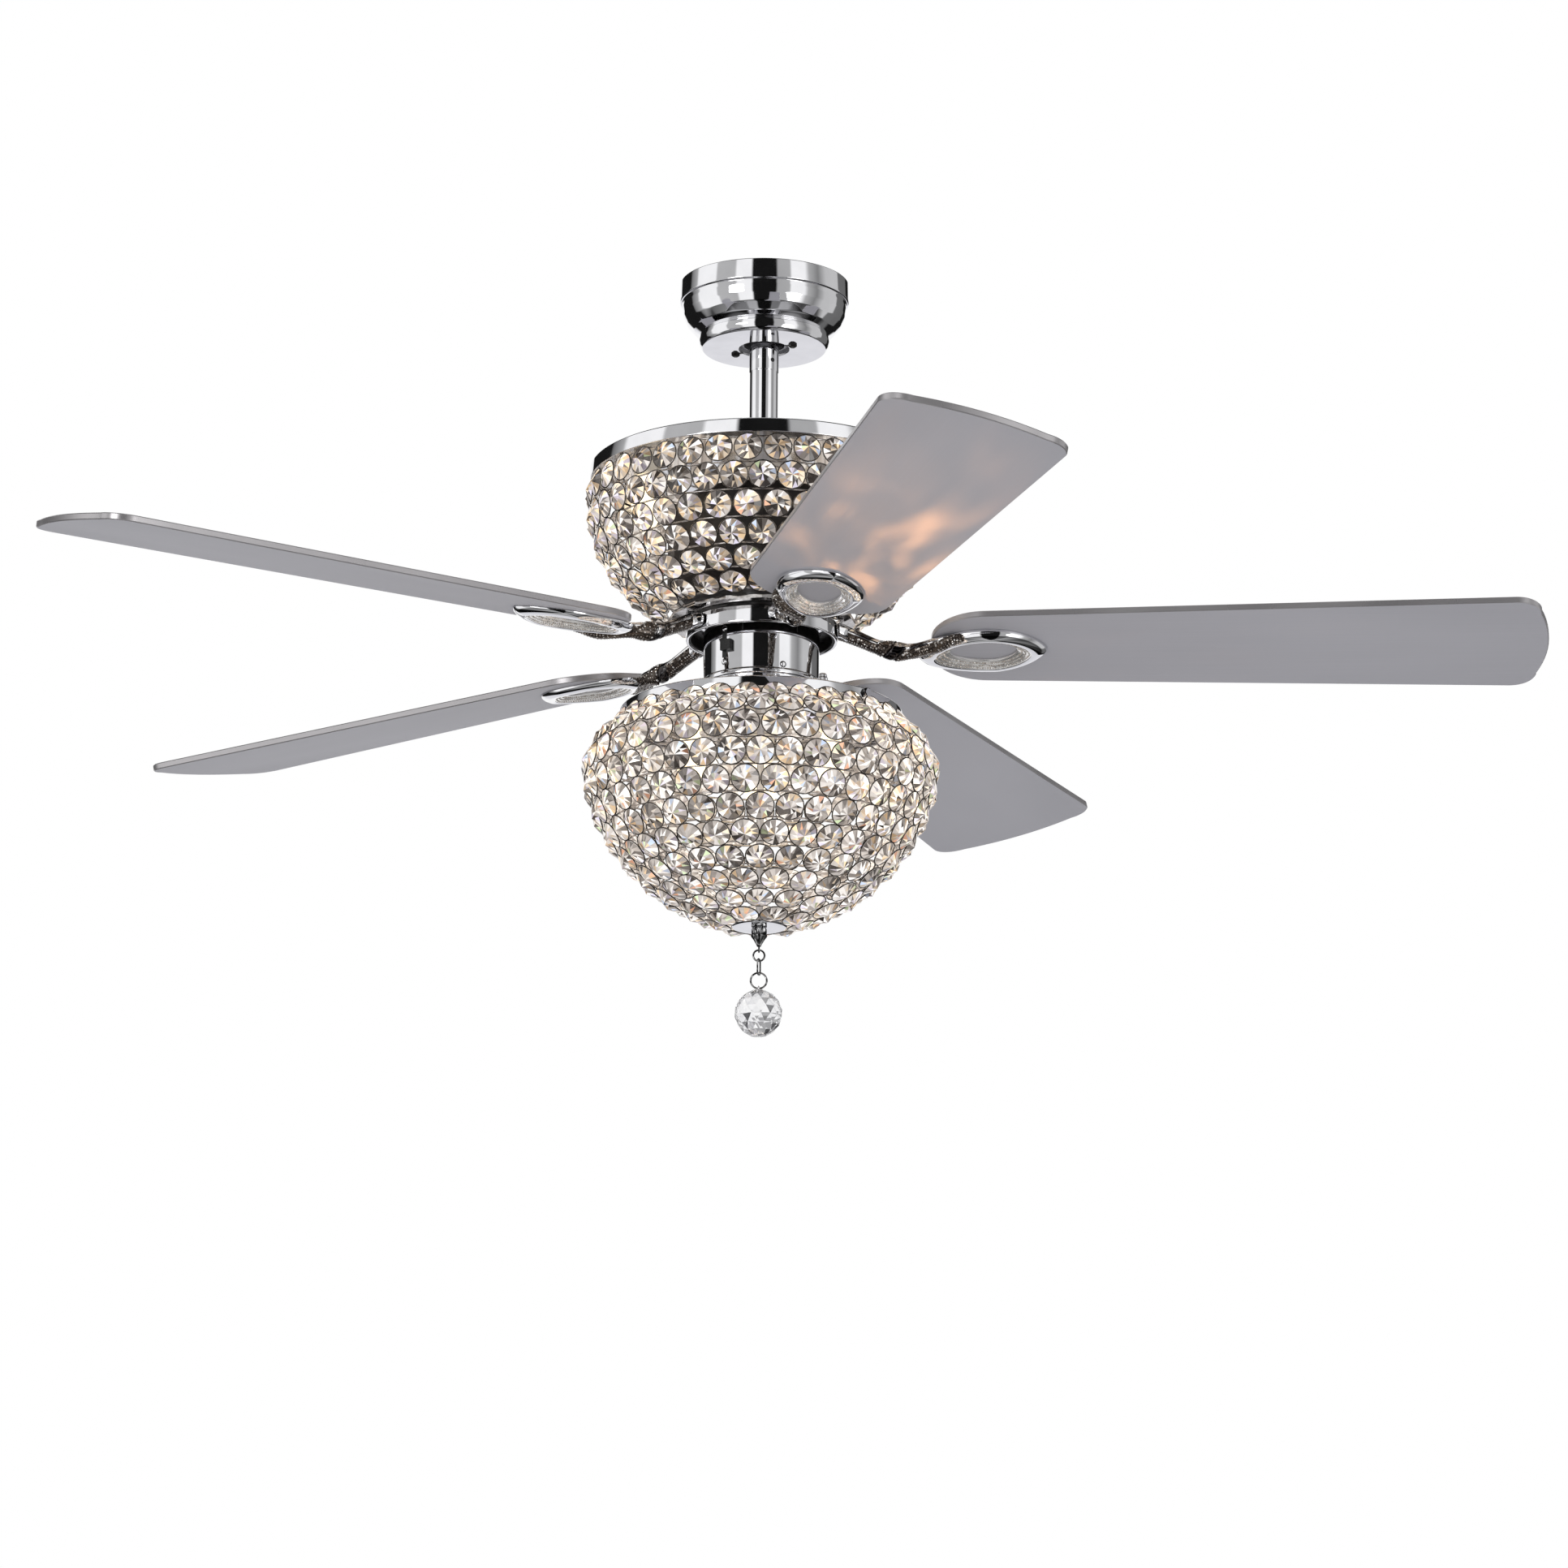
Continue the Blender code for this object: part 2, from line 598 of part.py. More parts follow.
def rotor_cap(name, end, seam, sign):
    bore = SHAFT_R + GAP
    wall = ROTOR_WALL
    corner = ROTOR_CORNER
    hub = SHAFT_R + wall * 2
    shape = [(bore, end), (ROTOR_R - corner, end), (ROTOR_R, end - sign * corner), (ROTOR_R, seam),
             (ROTOR_R - wall, seam), (ROTOR_R - wall, end - sign * (corner + wall / 2)),
             (ROTOR_R - corner - wall / 2, end - sign * wall), (hub, end - sign * wall),
             (hub, end - sign * wall * 4), (bore, end - sign * wall * 4)]
    return node(name, lathe(shape, LOW_SEG), DARK, AXIS)


def flywheel():
    bore = SHAFT_R + RUN_GAP
    top = ROTOR_BOTTOM - GAP
    rim = FLY_R - FLY_WALL
    floor = FLY_TOP - FLY_DISC_T
    shape = [(bore, top), (FLY_BOSS_R, top), (FLY_BOSS_R, FLY_TOP), (FLY_R, FLY_TOP), (FLY_R, FLY_BOTTOM),
             (rim, FLY_BOTTOM), (rim, floor), (bore, floor)]
    return node("flywheel", lathe(shape, MID_SEG), CHROME, AXIS)


# blades and their irons, made once along +X and turned round the axis

def blade_frame(index):
    return Matrix.Rotation(math.radians(BLADE_TURN + 360 * index / BLADES), 4, "Z")


def on_blade(radius, side, up, share=1.0):
    tilt = math.radians(BLADE_PITCH) * share
    y = side * math.cos(tilt) + up * math.sin(tilt)
    z = BLADE_Z - side * math.sin(tilt) + up * math.cos(tilt)
    return Vector((radius, y, z))


def blade_outline():
    half = []
    corner = BLADE_ROOT_CORNER
    for i in range(CORNER_STEPS + 1):
        a = math.pi / 2 * i / CORNER_STEPS
        radius = BLADE_ROOT + corner * (1 - math.cos(a))
        half.append((radius, BLADE_ROOT_W / 2 - corner * (1 - math.sin(a))))
    corner = BLADE_TIP_CORNER
    for i in range(CORNER_STEPS + 1):
        a = math.pi / 2 * i / CORNER_STEPS
        radius = BLADE_TIP - BLADE_TIP_BOW - corner * (1 - math.sin(a))
        half.append((radius, BLADE_TIP_W / 2 - corner * (1 - math.cos(a))))
    half.append((BLADE_TIP - BLADE_TIP_BOW * BOW_SHARE, BLADE_TIP_W / 4))
    mirrored = [(radius, -side) for radius, side in reversed(half)]
    return half + [(BLADE_TIP, 0)] + mirrored


def screw_places():
    return [(IRON_SCREW_AT, IRON_SCREW_SIDE), (IRON_SCREW_AT, -IRON_SCREW_SIDE), (IRON_TIP_R, 0)]


def blade_basis(radius, side):
    tilt = Matrix.Rotation(-math.radians(BLADE_PITCH), 4, "X")
    return Matrix.Translation(on_blade(radius, side, 0)) @ tilt


def blade(index):
    bm = bmesh.new()
    outline = blade_outline()
    frame = blade_frame(index)
    low = [bm.verts.new(frame @ on_blade(radius, side, -BLADE_T / 2)) for radius, side in outline]
    high = [bm.verts.new(frame @ on_blade(radius, side, BLADE_T / 2)) for radius, side in outline]
    bm.faces.new(low)
    bm.faces.new(high)
    for i in range(len(outline)):
        j = (i + 1) % len(outline)
        bm.faces.new((low[i], low[j], high[j], high[i]))
    obj = node("blade_%d" % (index + 1), bm, BLADE, AXIS)
    for radius, side in screw_places():
        about = frame @ blade_basis(radius, side)
        combine(obj, rod(IRON_SCREW_R + GAP, -BLADE_T, BLADE_T, SMALL_SEG, about), "DIFFERENCE")
    return obj


def ease(share):
    share = max(0.0, min(1.0, share))
    return share * share * (3 - 2 * share)


def strand_path(sign):
    """Stations of one strand: centre, half width, depth and tilt share, from the foot round to the tip."""
    under = -(BLADE_T / 2 + GAP + IRON_T / 2 + (GAP if sign < 0 else 0))
    stations = []
    for i in range(ARM_STEPS + 1):
        share = i / ARM_STEPS
        radius = IRON_FOOT_R + (IRON_CROSS_R - IRON_FOOT_R) * share
        fall = min(1.0, (radius - IRON_FOOT_R) / (IRON_DIP_R - IRON_FOOT_R))
        join = ease((share - CROSS_SHARE) / (1 - CROSS_SHARE))
        up = IRON_FOOT_Z - BLADE_Z + (IRON_DIP_Z - IRON_FOOT_Z) * fall + (IRON_CROSS_Z - IRON_DIP_Z) * join
        half = IRON_ARM_HALF + (IRON_CROSS_HALF - IRON_ARM_HALF) * share
        thick = IRON_ARM_T + (IRON_T - IRON_ARM_T) * join
        lift = IRON_PASS * sign * join
        side = sign * IRON_STRAND * (1 - join)
        stations.append((radius, side, up + lift, half, thick, TILT_SHARE * share))
    for i in range(1, LOOP_STEPS + 1):
        share = i / LOOP_STEPS
        angle = math.pi * share
        mid = IRON_CROSS_R + (IRON_TIP_R - IRON_CROSS_R) * (1 - math.cos(angle)) / 2
        bulge = math.sin(angle) ** LOOP_POWER
        side = -sign * IRON_LOOP_W * bulge
        half = IRON_CROSS_HALF + (IRON_LOOP_HALF - IRON_CROSS_HALF) * ease(share * 2)
        rise = ease(share * RISE_SHARE)
        low = IRON_CROSS_Z - BLADE_Z + IRON_PASS * sign
        tilt = TILT_SHARE + (1 - TILT_SHARE) * rise
        stations.append((mid, side, low + (under - low) * rise, half, IRON_T, tilt))
    stations.append((IRON_TIP_R, sign * IRON_LOOP_HALF / 2, under, half * TAIL_SHARE, IRON_T, 1.0))
    return stations


def strand(sign):
    bm = bmesh.new()
    stations = strand_path(sign)
    centres = [on_blade(radius, side, up, tilt) for radius, side, up, half, thick, tilt in stations]
    rings = []
    for i, (radius, side, up, half, thick, tilt) in enumerate(stations):
        ahead = centres[min(i + 1, len(centres) - 1)] - centres[max(i - 1, 0)]
        lean = math.radians(BLADE_PITCH) * tilt
        normal = Vector((0, math.sin(lean), math.cos(lean)))
        across = normal.cross(ahead).normalized()
        normal = ahead.cross(across).normalized()
        ring = []
        for wide, deep in SECTION_SHARES:
            ring.append(bm.verts.new(centres[i] + across * half * wide + normal * thick * deep))
        rings.append(ring)
    count = len(SECTION_SHARES)
    for low, high in zip(rings, rings[1:]):
        for k in range(count):
            m = (k + 1) % count
            bm.faces.new((low[k], low[m], high[m], high[k]))
    bm.faces.new(rings[0])
    bm.faces.new(rings[-1])
    return bm


def iron_mesh():
    obj = node("iron_shape", strand(1), CHROME, AXIS)
    combine(obj, strand(-1), "UNION")
    inner = FLY_R + GAP
    outer = IRON_FOOT_R + IRON_FOOT_W / 2
    foot = block((inner, -IRON_FOOT_W, IRON_FOOT_Z - IRON_FOOT_H / 2),
                 (outer, IRON_FOOT_W, IRON_FOOT_Z + IRON_FOOT_H / 2))
    combine(obj, foot, "UNION")
    top = BLADE_T / 2 + GAP
    start = -(BLADE_T / 2 + GAP + IRON_T / 2)
    for radius, side in screw_places():
        screw = [(0, start), (IRON_SCREW_R, start), (IRON_SCREW_R, top), (IRON_HEAD_R, top),
                 (IRON_HEAD_R * DOME_SHARE, top + IRON_HEAD_T), (0, top + IRON_HEAD_T)]
        combine(obj, lathe(screw, SMALL_SEG, about=blade_basis(radius, side)), "UNION")
    return obj


def blade_irons():
    first = iron_mesh()
    for index in range(BLADES):
        bm = bmesh.new()
        bm.from_mesh(first.data)
        bmesh.ops.transform(bm, matrix=blade_frame(index), verts=bm.verts)
        node("blade_iron_%d" % (index + 1), bm, CHROME, AXIS)
    bpy.data.objects.remove(first)


# crystal baskets

def basket_curve(radius, mid, rise, drop, top, end, power):
    """Profile from top to bottom as (radius, z) at many steps."""
    curve = []
    for i in range(CURVE_STEPS + 1):
        z = top + (end - top) * i / CURVE_STEPS
        reach = (z - mid) / rise if z > mid else (mid - z) / drop
        curve.append((radius * (1 - reach ** power) ** (1 / power), z))
    return curve


def stations_on(curve, rows):
    """Frames at the middle of each row: radius, z, slope along the profile."""
    lengths = [0.0]
    for (r0, z0), (r1, z1) in zip(curve, curve[1:]):
        lengths.append(lengths[-1] + math.hypot(r1 - r0, z1 - z0))
    pitch = lengths[-1] / rows
    found = []
    for row in range(rows):
        want = pitch * (row + HALF_SHARE)
        k = next(i for i, length in enumerate(lengths) if length >= want)
        share = (want - lengths[k - 1]) / (lengths[k] - lengths[k - 1])
        (r0, z0), (r1, z1) = curve[k - 1], curve[k]
        slope = Vector((r1 - r0, 0, z1 - z0)).normalized()
        found.append((r0 + (r1 - r0) * share, z0 + (z1 - z0) * share, slope))
    return found, pitch


def crystals_in(radius, row):
    odd = (row + 1) % 2
    return 2 * round((2 * math.pi * radius / CRYSTAL_PITCH - odd) / 2) + odd


def row_point(station, angle, along, out):
    radius, z, slope = station
    normal = Vector((-slope.z, 0, slope.x))
    flat = Vector((radius, 0, z)) + slope * along + normal * out
    return Matrix.Rotation(angle, 4, "Z") @ flat


def crystal_row(bm, station, row, height):
    count = crystals_in(station[0], row)
    half = height / 2 - GAP
    step = 2 * math.pi / count
    neck = CRYSTAL_NECK
    posts = []
    for i in range(count):
        angle = math.pi / 2 + step * (i - HALF_SHARE)
        corners = ((-neck, CRYSTAL_NECK_OUT), (neck, CRYSTAL_NECK_OUT), (0, -CRYSTAL_IN))
        posts.append([bm.verts.new(row_point(station, angle, along, out)) for along, out in corners])
    for i in range(count):
        angle = math.pi / 2 + step * i
        left = posts[i]
        right = posts[(i + 1) % count]
        top = bm.verts.new(row_point(station, angle, -half, 0))
        low = bm.verts.new(row_point(station, angle, half, 0))
        tip = bm.verts.new(row_point(station, angle, 0, CRYSTAL_OUT))
        front = (left[0], top, right[0], right[1], low, left[1])
        for a, b in zip(front, front[1:] + front[:1]):
            bm.faces.new((a, b, tip))
        for a, b in ((left[0], left[2]), (left[2], right[2]), (right[2], right[0])):
            bm.faces.new((a, b, top))
        for a, b in ((left[2], left[1]), (right[2], left[2]), (right[1], right[2])):
            bm.faces.new((a, b, low))


def strut(bm, first, second, angle):
    corners = []
    for station in (first, second):
        wide = STRUT_HALF / station[0]
        for turn, out in ((-wide, -STRUT_NEAR), (wide, -STRUT_NEAR), (wide, -STRUT_FAR), (-wide, -STRUT_FAR)):
            corners.append(row_point(station, angle + turn, 0, out))
    hexahedron(bm, corners)


def crystal_bands(prefix, curve, rows):
    found, pitch = stations_on(curve, rows)
    for band in range((rows + 1) // 2):
        bm = bmesh.new()
        pair = range(2 * band, min(2 * band + 2, rows))
        for row in pair:
            crystal_row(bm, found[row], row, pitch)
        obj = node("%s_crystal_band_%d" % (prefix, band + 1), bm, CRYSTAL, HANG, smooth=False)
        if len(pair) < 2:
            continue
        links = bmesh.new()
        for k in range(STRUTS):
            angle = math.pi / 2 + 2 * math.pi * k / STRUTS
            strut(links, found[pair[0]], found[pair[1]], angle)
        combine(obj, links, "UNION")


def rib(angle, points):
    """A wire through the points, given as (radius, z)."""
    bm = bmesh.new()
    turn = Matrix.Rotation(angle, 4, "Z")
    rings = []
    for i, (radius, z) in enumerate(points):
        r0, z0 = points[max(i - 1, 0)]
        r1, z1 = points[min(i + 1, len(points) - 1)]
        slope = Vector((r1 - r0, 0, z1 - z0)).normalized()
        out = Vector((-slope.z, 0, slope.x))
        ring = []
        for side, lift in RIB_SHARES:
            place = Vector((radius, side * RIB_R, z)) + out * lift * RIB_R
            ring.append(bm.verts.new(turn @ place))
        rings.append(ring)
    count = len(RIB_SHARES)
    for low, high in zip(rings, rings[1:]):
        for k in range(count):
            m = (k + 1) % count
            bm.faces.new((low[k], low[m], high[m], high[k]))
    bm.faces.new(rings[0])
    bm.faces.new(rings[-1])
    return bm


def flat_ring(inner, outer, top, seg):
    low = top - RING_T
    return lathe([(inner, top), (outer, top), (outer, low), (inner, low)], seg)


def basket_frame(name, curve, rows, head, foot):
    """Two flat rings joined by wires that run close behind the crystal rows."""
    found, pitch = stations_on(curve, rows)
    head_in, head_out, head_z = head
    foot_in, foot_out, foot_z = foot
    points = [((head_in + head_out) / 2, head_z - RING_T / 2)]
    shifts = [(found[0], -2)] + [(station, 0) for station in found[1::2]] + [(found[-1], 2)]
    for (radius, z, slope), shift in shifts:
        along = shift * CRYSTAL_NECK
        sag = radius * (1 - math.cos(math.pi / crystals_in(radius, 0))) * abs(slope.z)
        depth = CRYSTAL_IN + RIB_R + GAP + sag
        points.append((radius + slope.z * depth + slope.x * along, z - slope.x * depth + slope.z * along))
    points.append(((foot_in + foot_out) / 2, foot_z - RING_T / 2))
    obj = node(name, flat_ring(head_in, head_out, head_z, MID_SEG), CHROME, HANG)
    combine(obj, flat_ring(foot_in, foot_out, foot_z, LOW_SEG), "UNION")
    for k in range(RIBS):
        combine(obj, rib(math.pi / 2 + 2 * math.pi * k / RIBS, points), "UNION")
    return obj


def baskets():
    upper = basket_curve(UPPER_R, UPPER_MID, UPPER_RISE, UPPER_DROP, UPPER_TOP, UPPER_END, UPPER_POWER)
    head = (UPPER_RING_IN, UPPER_RING_OUT, PLATE_TOP - PLATE_T - GAP)
    foot = (UPPER_FOOT_IN, UPPER_FOOT_OUT, UPPER_FOOT_Z)
    basket_frame("upper_basket_frame", upper, UPPER_ROWS, head, foot)
    crystal_bands("upper", upper, UPPER_ROWS)
    lower = basket_curve(LOWER_R, LOWER_MID, LOWER_RISE, LOWER_DROP, LOWER_TOP, LOWER_END, LOWER_POWER)
    head = (LOWER_RING_IN, LOWER_RING_OUT, KIT_TOP - KIT_T - GAP)
    foot = (LOWER_FOOT_IN, LOWER_FOOT_OUT, LOWER_FOOT_Z)
    basket_frame("lower_basket_frame", lower, LOWER_ROWS, head, foot)
    crystal_bands("lower", lower, LOWER_ROWS)


# lamps

def lamp(prefix, index, radius, top):
    at = turned(LAMP_TURN + 360 * index / LAMPS, radius)
    low = top - HOLDER_H
    cup = [(0, top), (HOLDER_R, top), (HOLDER_R, low + GAP * 4), (HOLDER_R - GAP * 4, low), (0, low)]
    node("%s_lamp_holder_%d" % (prefix, index + 1), lathe(cup, THIN_SEG, about=at), PORCELAIN, HANG)
    start = low - GAP
    shape = [(0, start), (BULB_BASE_R, start)]
    for share, wide in BULB_SHARES:
        shape.append((BULB_R * wide, start - BULB_H * share))
    shape.append((0, start - BULB_H))
    node("%s_bulb_%d" % (prefix, index + 1), lathe(shape, THIN_SEG, about=at), BULB, HANG)


# switch housing with the reversing switch, and the light-kit plate

def switch_housing():
    wall = HOUSING_WALL
    bead = HOUSING_BEAD
    low = KIT_TOP + GAP
    bore = SHAFT_R + GAP
    can = [(bore, HOUSING_TOP), (HOUSING_R, HOUSING_TOP), (HOUSING_R, HOUSING_BEAD_Z + 2 * bead),
           (HOUSING_R + bead, HOUSING_BEAD_Z + bead), (HOUSING_R + bead, HOUSING_BEAD_Z - bead),
           (HOUSING_R, HOUSING_BEAD_Z - 2 * bead), (HOUSING_R, low), (HOUSING_R - wall, low),
           (HOUSING_R - wall, HOUSING_TOP - wall), (bore, HOUSING_TOP - wall)]
    obj = node("switch_housing", lathe(can, MID_SEG), CHROME, HANG)
    turn = Matrix.Rotation(math.radians(SWITCH_TURN), 4, "Z")
    slot = block((HOUSING_R - wall * 3, -SWITCH_SLOT_W / 2, SWITCH_Z - SWITCH_SLOT_H / 2),
                 (HOUSING_R + wall, SWITCH_SLOT_W / 2, SWITCH_Z + SWITCH_SLOT_H / 2), turn)
    return combine(obj, slot, "DIFFERENCE")


def reverse_switch():
    turn = Matrix.Rotation(math.radians(SWITCH_TURN), 4, "Z")
    face = HOUSING_R + GAP
    knob = block((face, -SWITCH_KNOB_W / 2, SWITCH_Z - SWITCH_KNOB_H / 2),
                 (face + SWITCH_KNOB_T, SWITCH_KNOB_W / 2, SWITCH_Z + SWITCH_KNOB_H / 2), turn)
    pivot = turn @ Vector((HOUSING_R, 0, SWITCH_Z))
    obj = node("reverse_switch", knob, BLACK, pivot, smooth=False)
    half = SWITCH_SLOT_W / 2 - GAP
    stem = block((face - SWITCH_STEM_LEN, -half, SWITCH_Z - SWITCH_STEM_H / 2),
                 (face + SWITCH_KNOB_T / 2, half, SWITCH_Z + SWITCH_STEM_H / 2), turn)
    return combine(obj, stem, "UNION")


def light_kit_plate():
    low = KIT_TOP - KIT_T
    edge = KIT_TOP - KIT_SKIRT
    bore = TIE_R + GAP
    inner = KIT_R - KIT_T
    pan = [(bore, KIT_TOP), (KIT_R, KIT_TOP), (KIT_R, edge), (inner, edge), (inner, low), (bore, low)]
    return node("light_kit_plate", lathe(pan, MID_SEG), CHROME, HANG)


def thumb_nut():
    at = turned(NUT_TURN, NUT_AT)
    low = KIT_TOP + GAP
    shape = [(0, low), (NUT_R, low), (NUT_R, low + NUT_H * DOME_SHARE), (NUT_R * DOME_SHARE, low + NUT_H),
             (0, low + NUT_H)]
    return node("thumb_nut", lathe(shape, SMALL_SEG, about=at), CHROME, HANG)


def tie_rod():
    top = KIT_TOP + TIE_R * 2
    end = LOWER_FOOT_Z - RING_T - END_PLATE_T - FINIAL_H / 2
    shelf = KIT_TOP - KIT_T - GAP
    nut = TIE_R * NUT_SHARE
    seat = LOWER_FOOT_Z - RING_T
    shape = [(0, top), (TIE_R, top), (TIE_R, shelf), (nut, shelf), (nut, shelf - TIE_R * 2),
             (TIE_R, shelf - TIE_R * 2), (TIE_R, seat), (TIE_R, end), (0, end)]
    return node("tie_rod", lathe(shape, THIN_SEG), STEEL, HANG)


# bottom plate, finial and the hanging crystal pull

def bottom_plate():
    bore = TIE_R + GAP
    low = END_PLATE_TOP - END_PLATE_T
    shape = [(bore, END_PLATE_TOP), (END_PLATE_R, END_PLATE_TOP), (END_PLATE_R, low + END_PLATE_T / 2),
             (END_PLATE_R * END_SHARE, low), (bore, low)]
    return node("bottom_plate", lathe(shape, LOW_SEG), CHROME, HANG)


def ring_loop(radius, half, wire, centre, plane, seg):
    """A closed wire: a circle of the radius, stretched by half along Z, in the XZ or YZ plane."""
    bm = bmesh.new()
    rings = []
    for i in range(seg):
        a = 2 * math.pi * (i + HALF_SHARE) / seg
        shift = half if math.sin(a) > 0 else -half
        spine = Vector((radius * math.cos(a), 0, radius * math.sin(a) + shift))
        out = Vector((math.cos(a), 0, math.sin(a)))
        ring = []
        for k in range(WIRE_SIDES):
            b = 2 * math.pi * k / WIRE_SIDES
            point = spine + out * wire * math.cos(b) + Vector((0, wire * math.sin(b), 0))
            if plane == "YZ":
                point = Vector((point.y, point.x, point.z))
            ring.append(bm.verts.new(point + Vector((0, 0, centre))))
        rings.append(ring)
    for i in range(seg):
        low = rings[i]
        high = rings[(i + 1) % seg]
        for k in range(WIRE_SIDES):
            m = (k + 1) % WIRE_SIDES
            bm.faces.new((low[k], low[m], high[m], high[k]))
    return bm


def finial():
    bore = TIE_R + GAP
    blind = LOWER_FOOT_Z - RING_T - END_PLATE_T - FINIAL_H / 2 - GAP
    shape = [(0, blind), (bore, blind), (bore, FINIAL_TOP), (FINIAL_R, FINIAL_TOP), (FINIAL_R, CONE_TOP + GAP * 4),
             (FINIAL_FLARE, CONE_TOP), (FINIAL_FLARE * DOME_SHARE, CONE_TOP - FINIAL_CONE * DOME_SHARE / 2),
             (FINIAL_TIP_R, CONE_END), (0, CONE_END)]
    obj = node("finial", lathe(shape, SEG // 2), CHROME, HANG)
    eye = ring_loop(EYE_R, 0, LINK_WIRE_R, EYE_Z, "YZ", THIN_SEG)
    return combine(obj, eye, "UNION")


def chain():
    first = ring_loop(RING_1_R, 0, WIRE_R, RING_1_Z, "XZ", LOW_SEG)
    node("chain_ring_1", first, CHROME, Vector((0, 0, JOIN_1)))
    link = ring_loop(LINK_R, LINK_HALF, LINK_WIRE_R, LINK_Z, "YZ", SEG // 2)
    node("chain_link", link, CHROME, Vector((0, 0, JOIN_2)))
    second = ring_loop(RING_2_R, 0, WIRE_R, RING_2_Z, "XZ", LOW_SEG)
    node("chain_ring_2", second, CHROME, Vector((0, 0, JOIN_3)))


def crystal_ball():
    profile = [(0, PULL_Z + PULL_R)]
    for i in range(1, PULL_STEPS):
        a = math.pi * i / PULL_STEPS
        profile.append((PULL_R * math.sin(a), PULL_Z + PULL_R * math.cos(a)))
    profile.append((0, PULL_Z - PULL_R))
    obj = node("crystal_ball", lathe(profile, PULL_SIDES), CRYSTAL, Vector((0, 0, JOIN_4)), smooth=False)
    top = PULL_HOLE_Z + PULL_HOLE_R + WIRE_R * 2
    tab = block((-PULL_TAB_W / 2, -PULL_TAB_T / 2, PULL_Z + PULL_R / 2), (PULL_TAB_W / 2, PULL_TAB_T / 2, top))
    combine(obj, tab, "UNION")
    hole = cross_rod(PULL_HOLE_R, PULL_TAB_W * 2, Vector((0, 0, PULL_HOLE_Z)), SMALL_SEG)
    return combine(obj, hole, "DIFFERENCE")


def build():
    clear_scene()
    ceiling_bracket()
    canopy()
    for index in range(2):
        canopy_screw(index)
    hanger_ball()
    hanger_pin()
    downrod()
    motor_yoke()
    yoke_pin()
    top_plate()
    motor_shaft()
    stator()
    rotor_cap("rotor_cap_top", ROTOR_TOP, ROTOR_SEAM + GAP / 2, 1)
    rotor_cap("rotor_cap_bottom", ROTOR_BOTTOM, ROTOR_SEAM - GAP / 2, -1)
    flywheel()
    blade_irons()
    for index in range(BLADES):
        blade(index)
    baskets()
    for index in range(LAMPS):
        lamp("upper", index, UPPER_LAMP_AT, PLATE_TOP - PLATE_T - GAP)
        lamp("lower", index, LOWER_LAMP_AT, KIT_TOP - KIT_T - GAP)
    switch_housing()
    reverse_switch()
    light_kit_plate()
    thumb_nut()
    tie_rod()
    bottom_plate()
    finial()
    chain()
    crystal_ball()
    for obj in list(bpy.context.scene.objects):
        settle(obj)


build()
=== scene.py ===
import json
import random
from math import copysign, cos, exp, hypot, pi, radians, sin

import bmesh
import bpy
from mathutils import Matrix, Vector

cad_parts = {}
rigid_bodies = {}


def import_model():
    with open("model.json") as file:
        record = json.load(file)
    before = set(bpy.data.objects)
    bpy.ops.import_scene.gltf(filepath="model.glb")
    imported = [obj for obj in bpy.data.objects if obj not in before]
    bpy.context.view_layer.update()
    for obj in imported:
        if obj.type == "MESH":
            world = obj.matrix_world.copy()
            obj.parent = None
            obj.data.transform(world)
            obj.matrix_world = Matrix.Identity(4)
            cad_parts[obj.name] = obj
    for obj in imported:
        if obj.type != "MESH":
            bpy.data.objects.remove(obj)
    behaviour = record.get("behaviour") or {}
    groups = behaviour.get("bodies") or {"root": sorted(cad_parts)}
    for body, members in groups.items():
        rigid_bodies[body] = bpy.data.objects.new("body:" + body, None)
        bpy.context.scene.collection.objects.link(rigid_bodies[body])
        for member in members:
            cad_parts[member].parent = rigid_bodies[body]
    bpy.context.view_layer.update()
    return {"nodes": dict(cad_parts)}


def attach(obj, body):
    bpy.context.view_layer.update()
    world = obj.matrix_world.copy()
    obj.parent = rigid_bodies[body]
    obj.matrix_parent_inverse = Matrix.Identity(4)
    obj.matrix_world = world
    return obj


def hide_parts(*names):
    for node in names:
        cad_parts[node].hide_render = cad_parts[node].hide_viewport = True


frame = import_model()
random.seed(7)
SCENE = bpy.context.scene

# Camera, world, floor and lamps

PHOTO_PIXELS = 1932
FOCAL_PIXELS = 8430.74
SENSOR = 36
CAMERA_PLACE = (0.0081, -5.5393, -1.9191)
CAMERA_PITCH = 14.93
CAMERA_YAW = 0.121
CAMERA_ROLL = 0.439
FLOOR_Z = -3.2
FLOOR_HALF = 7
FLOOR_GREYS = ((0.84, 0.84, 0.84), (0.87, 0.87, 0.87))

# Panels and dark gaps round the studio: degrees from the camera, left negative, and brightness
PANELS = [
    (-180, 1.0), (-157, 1.0), (-155, 0.01), (-121, 0.01), (-118, 0.19), (-106, 0.42), (-102, 1.0),
    (-70, 1.0), (-68, 0.5), (-41, 0.48), (-38, 1.0), (-18, 1.0), (-16, 0.008), (16, 0.008), (18, 0.42),
    (35, 0.44), (37, 1.0), (57, 1.0), (63, 0.45), (78, 0.24), (92, 0.55), (119, 0.58), (121, 0.16),
    (145, 0.14), (147, 0.01), (161, 0.01), (163, 1.0), (180, 1.0)]
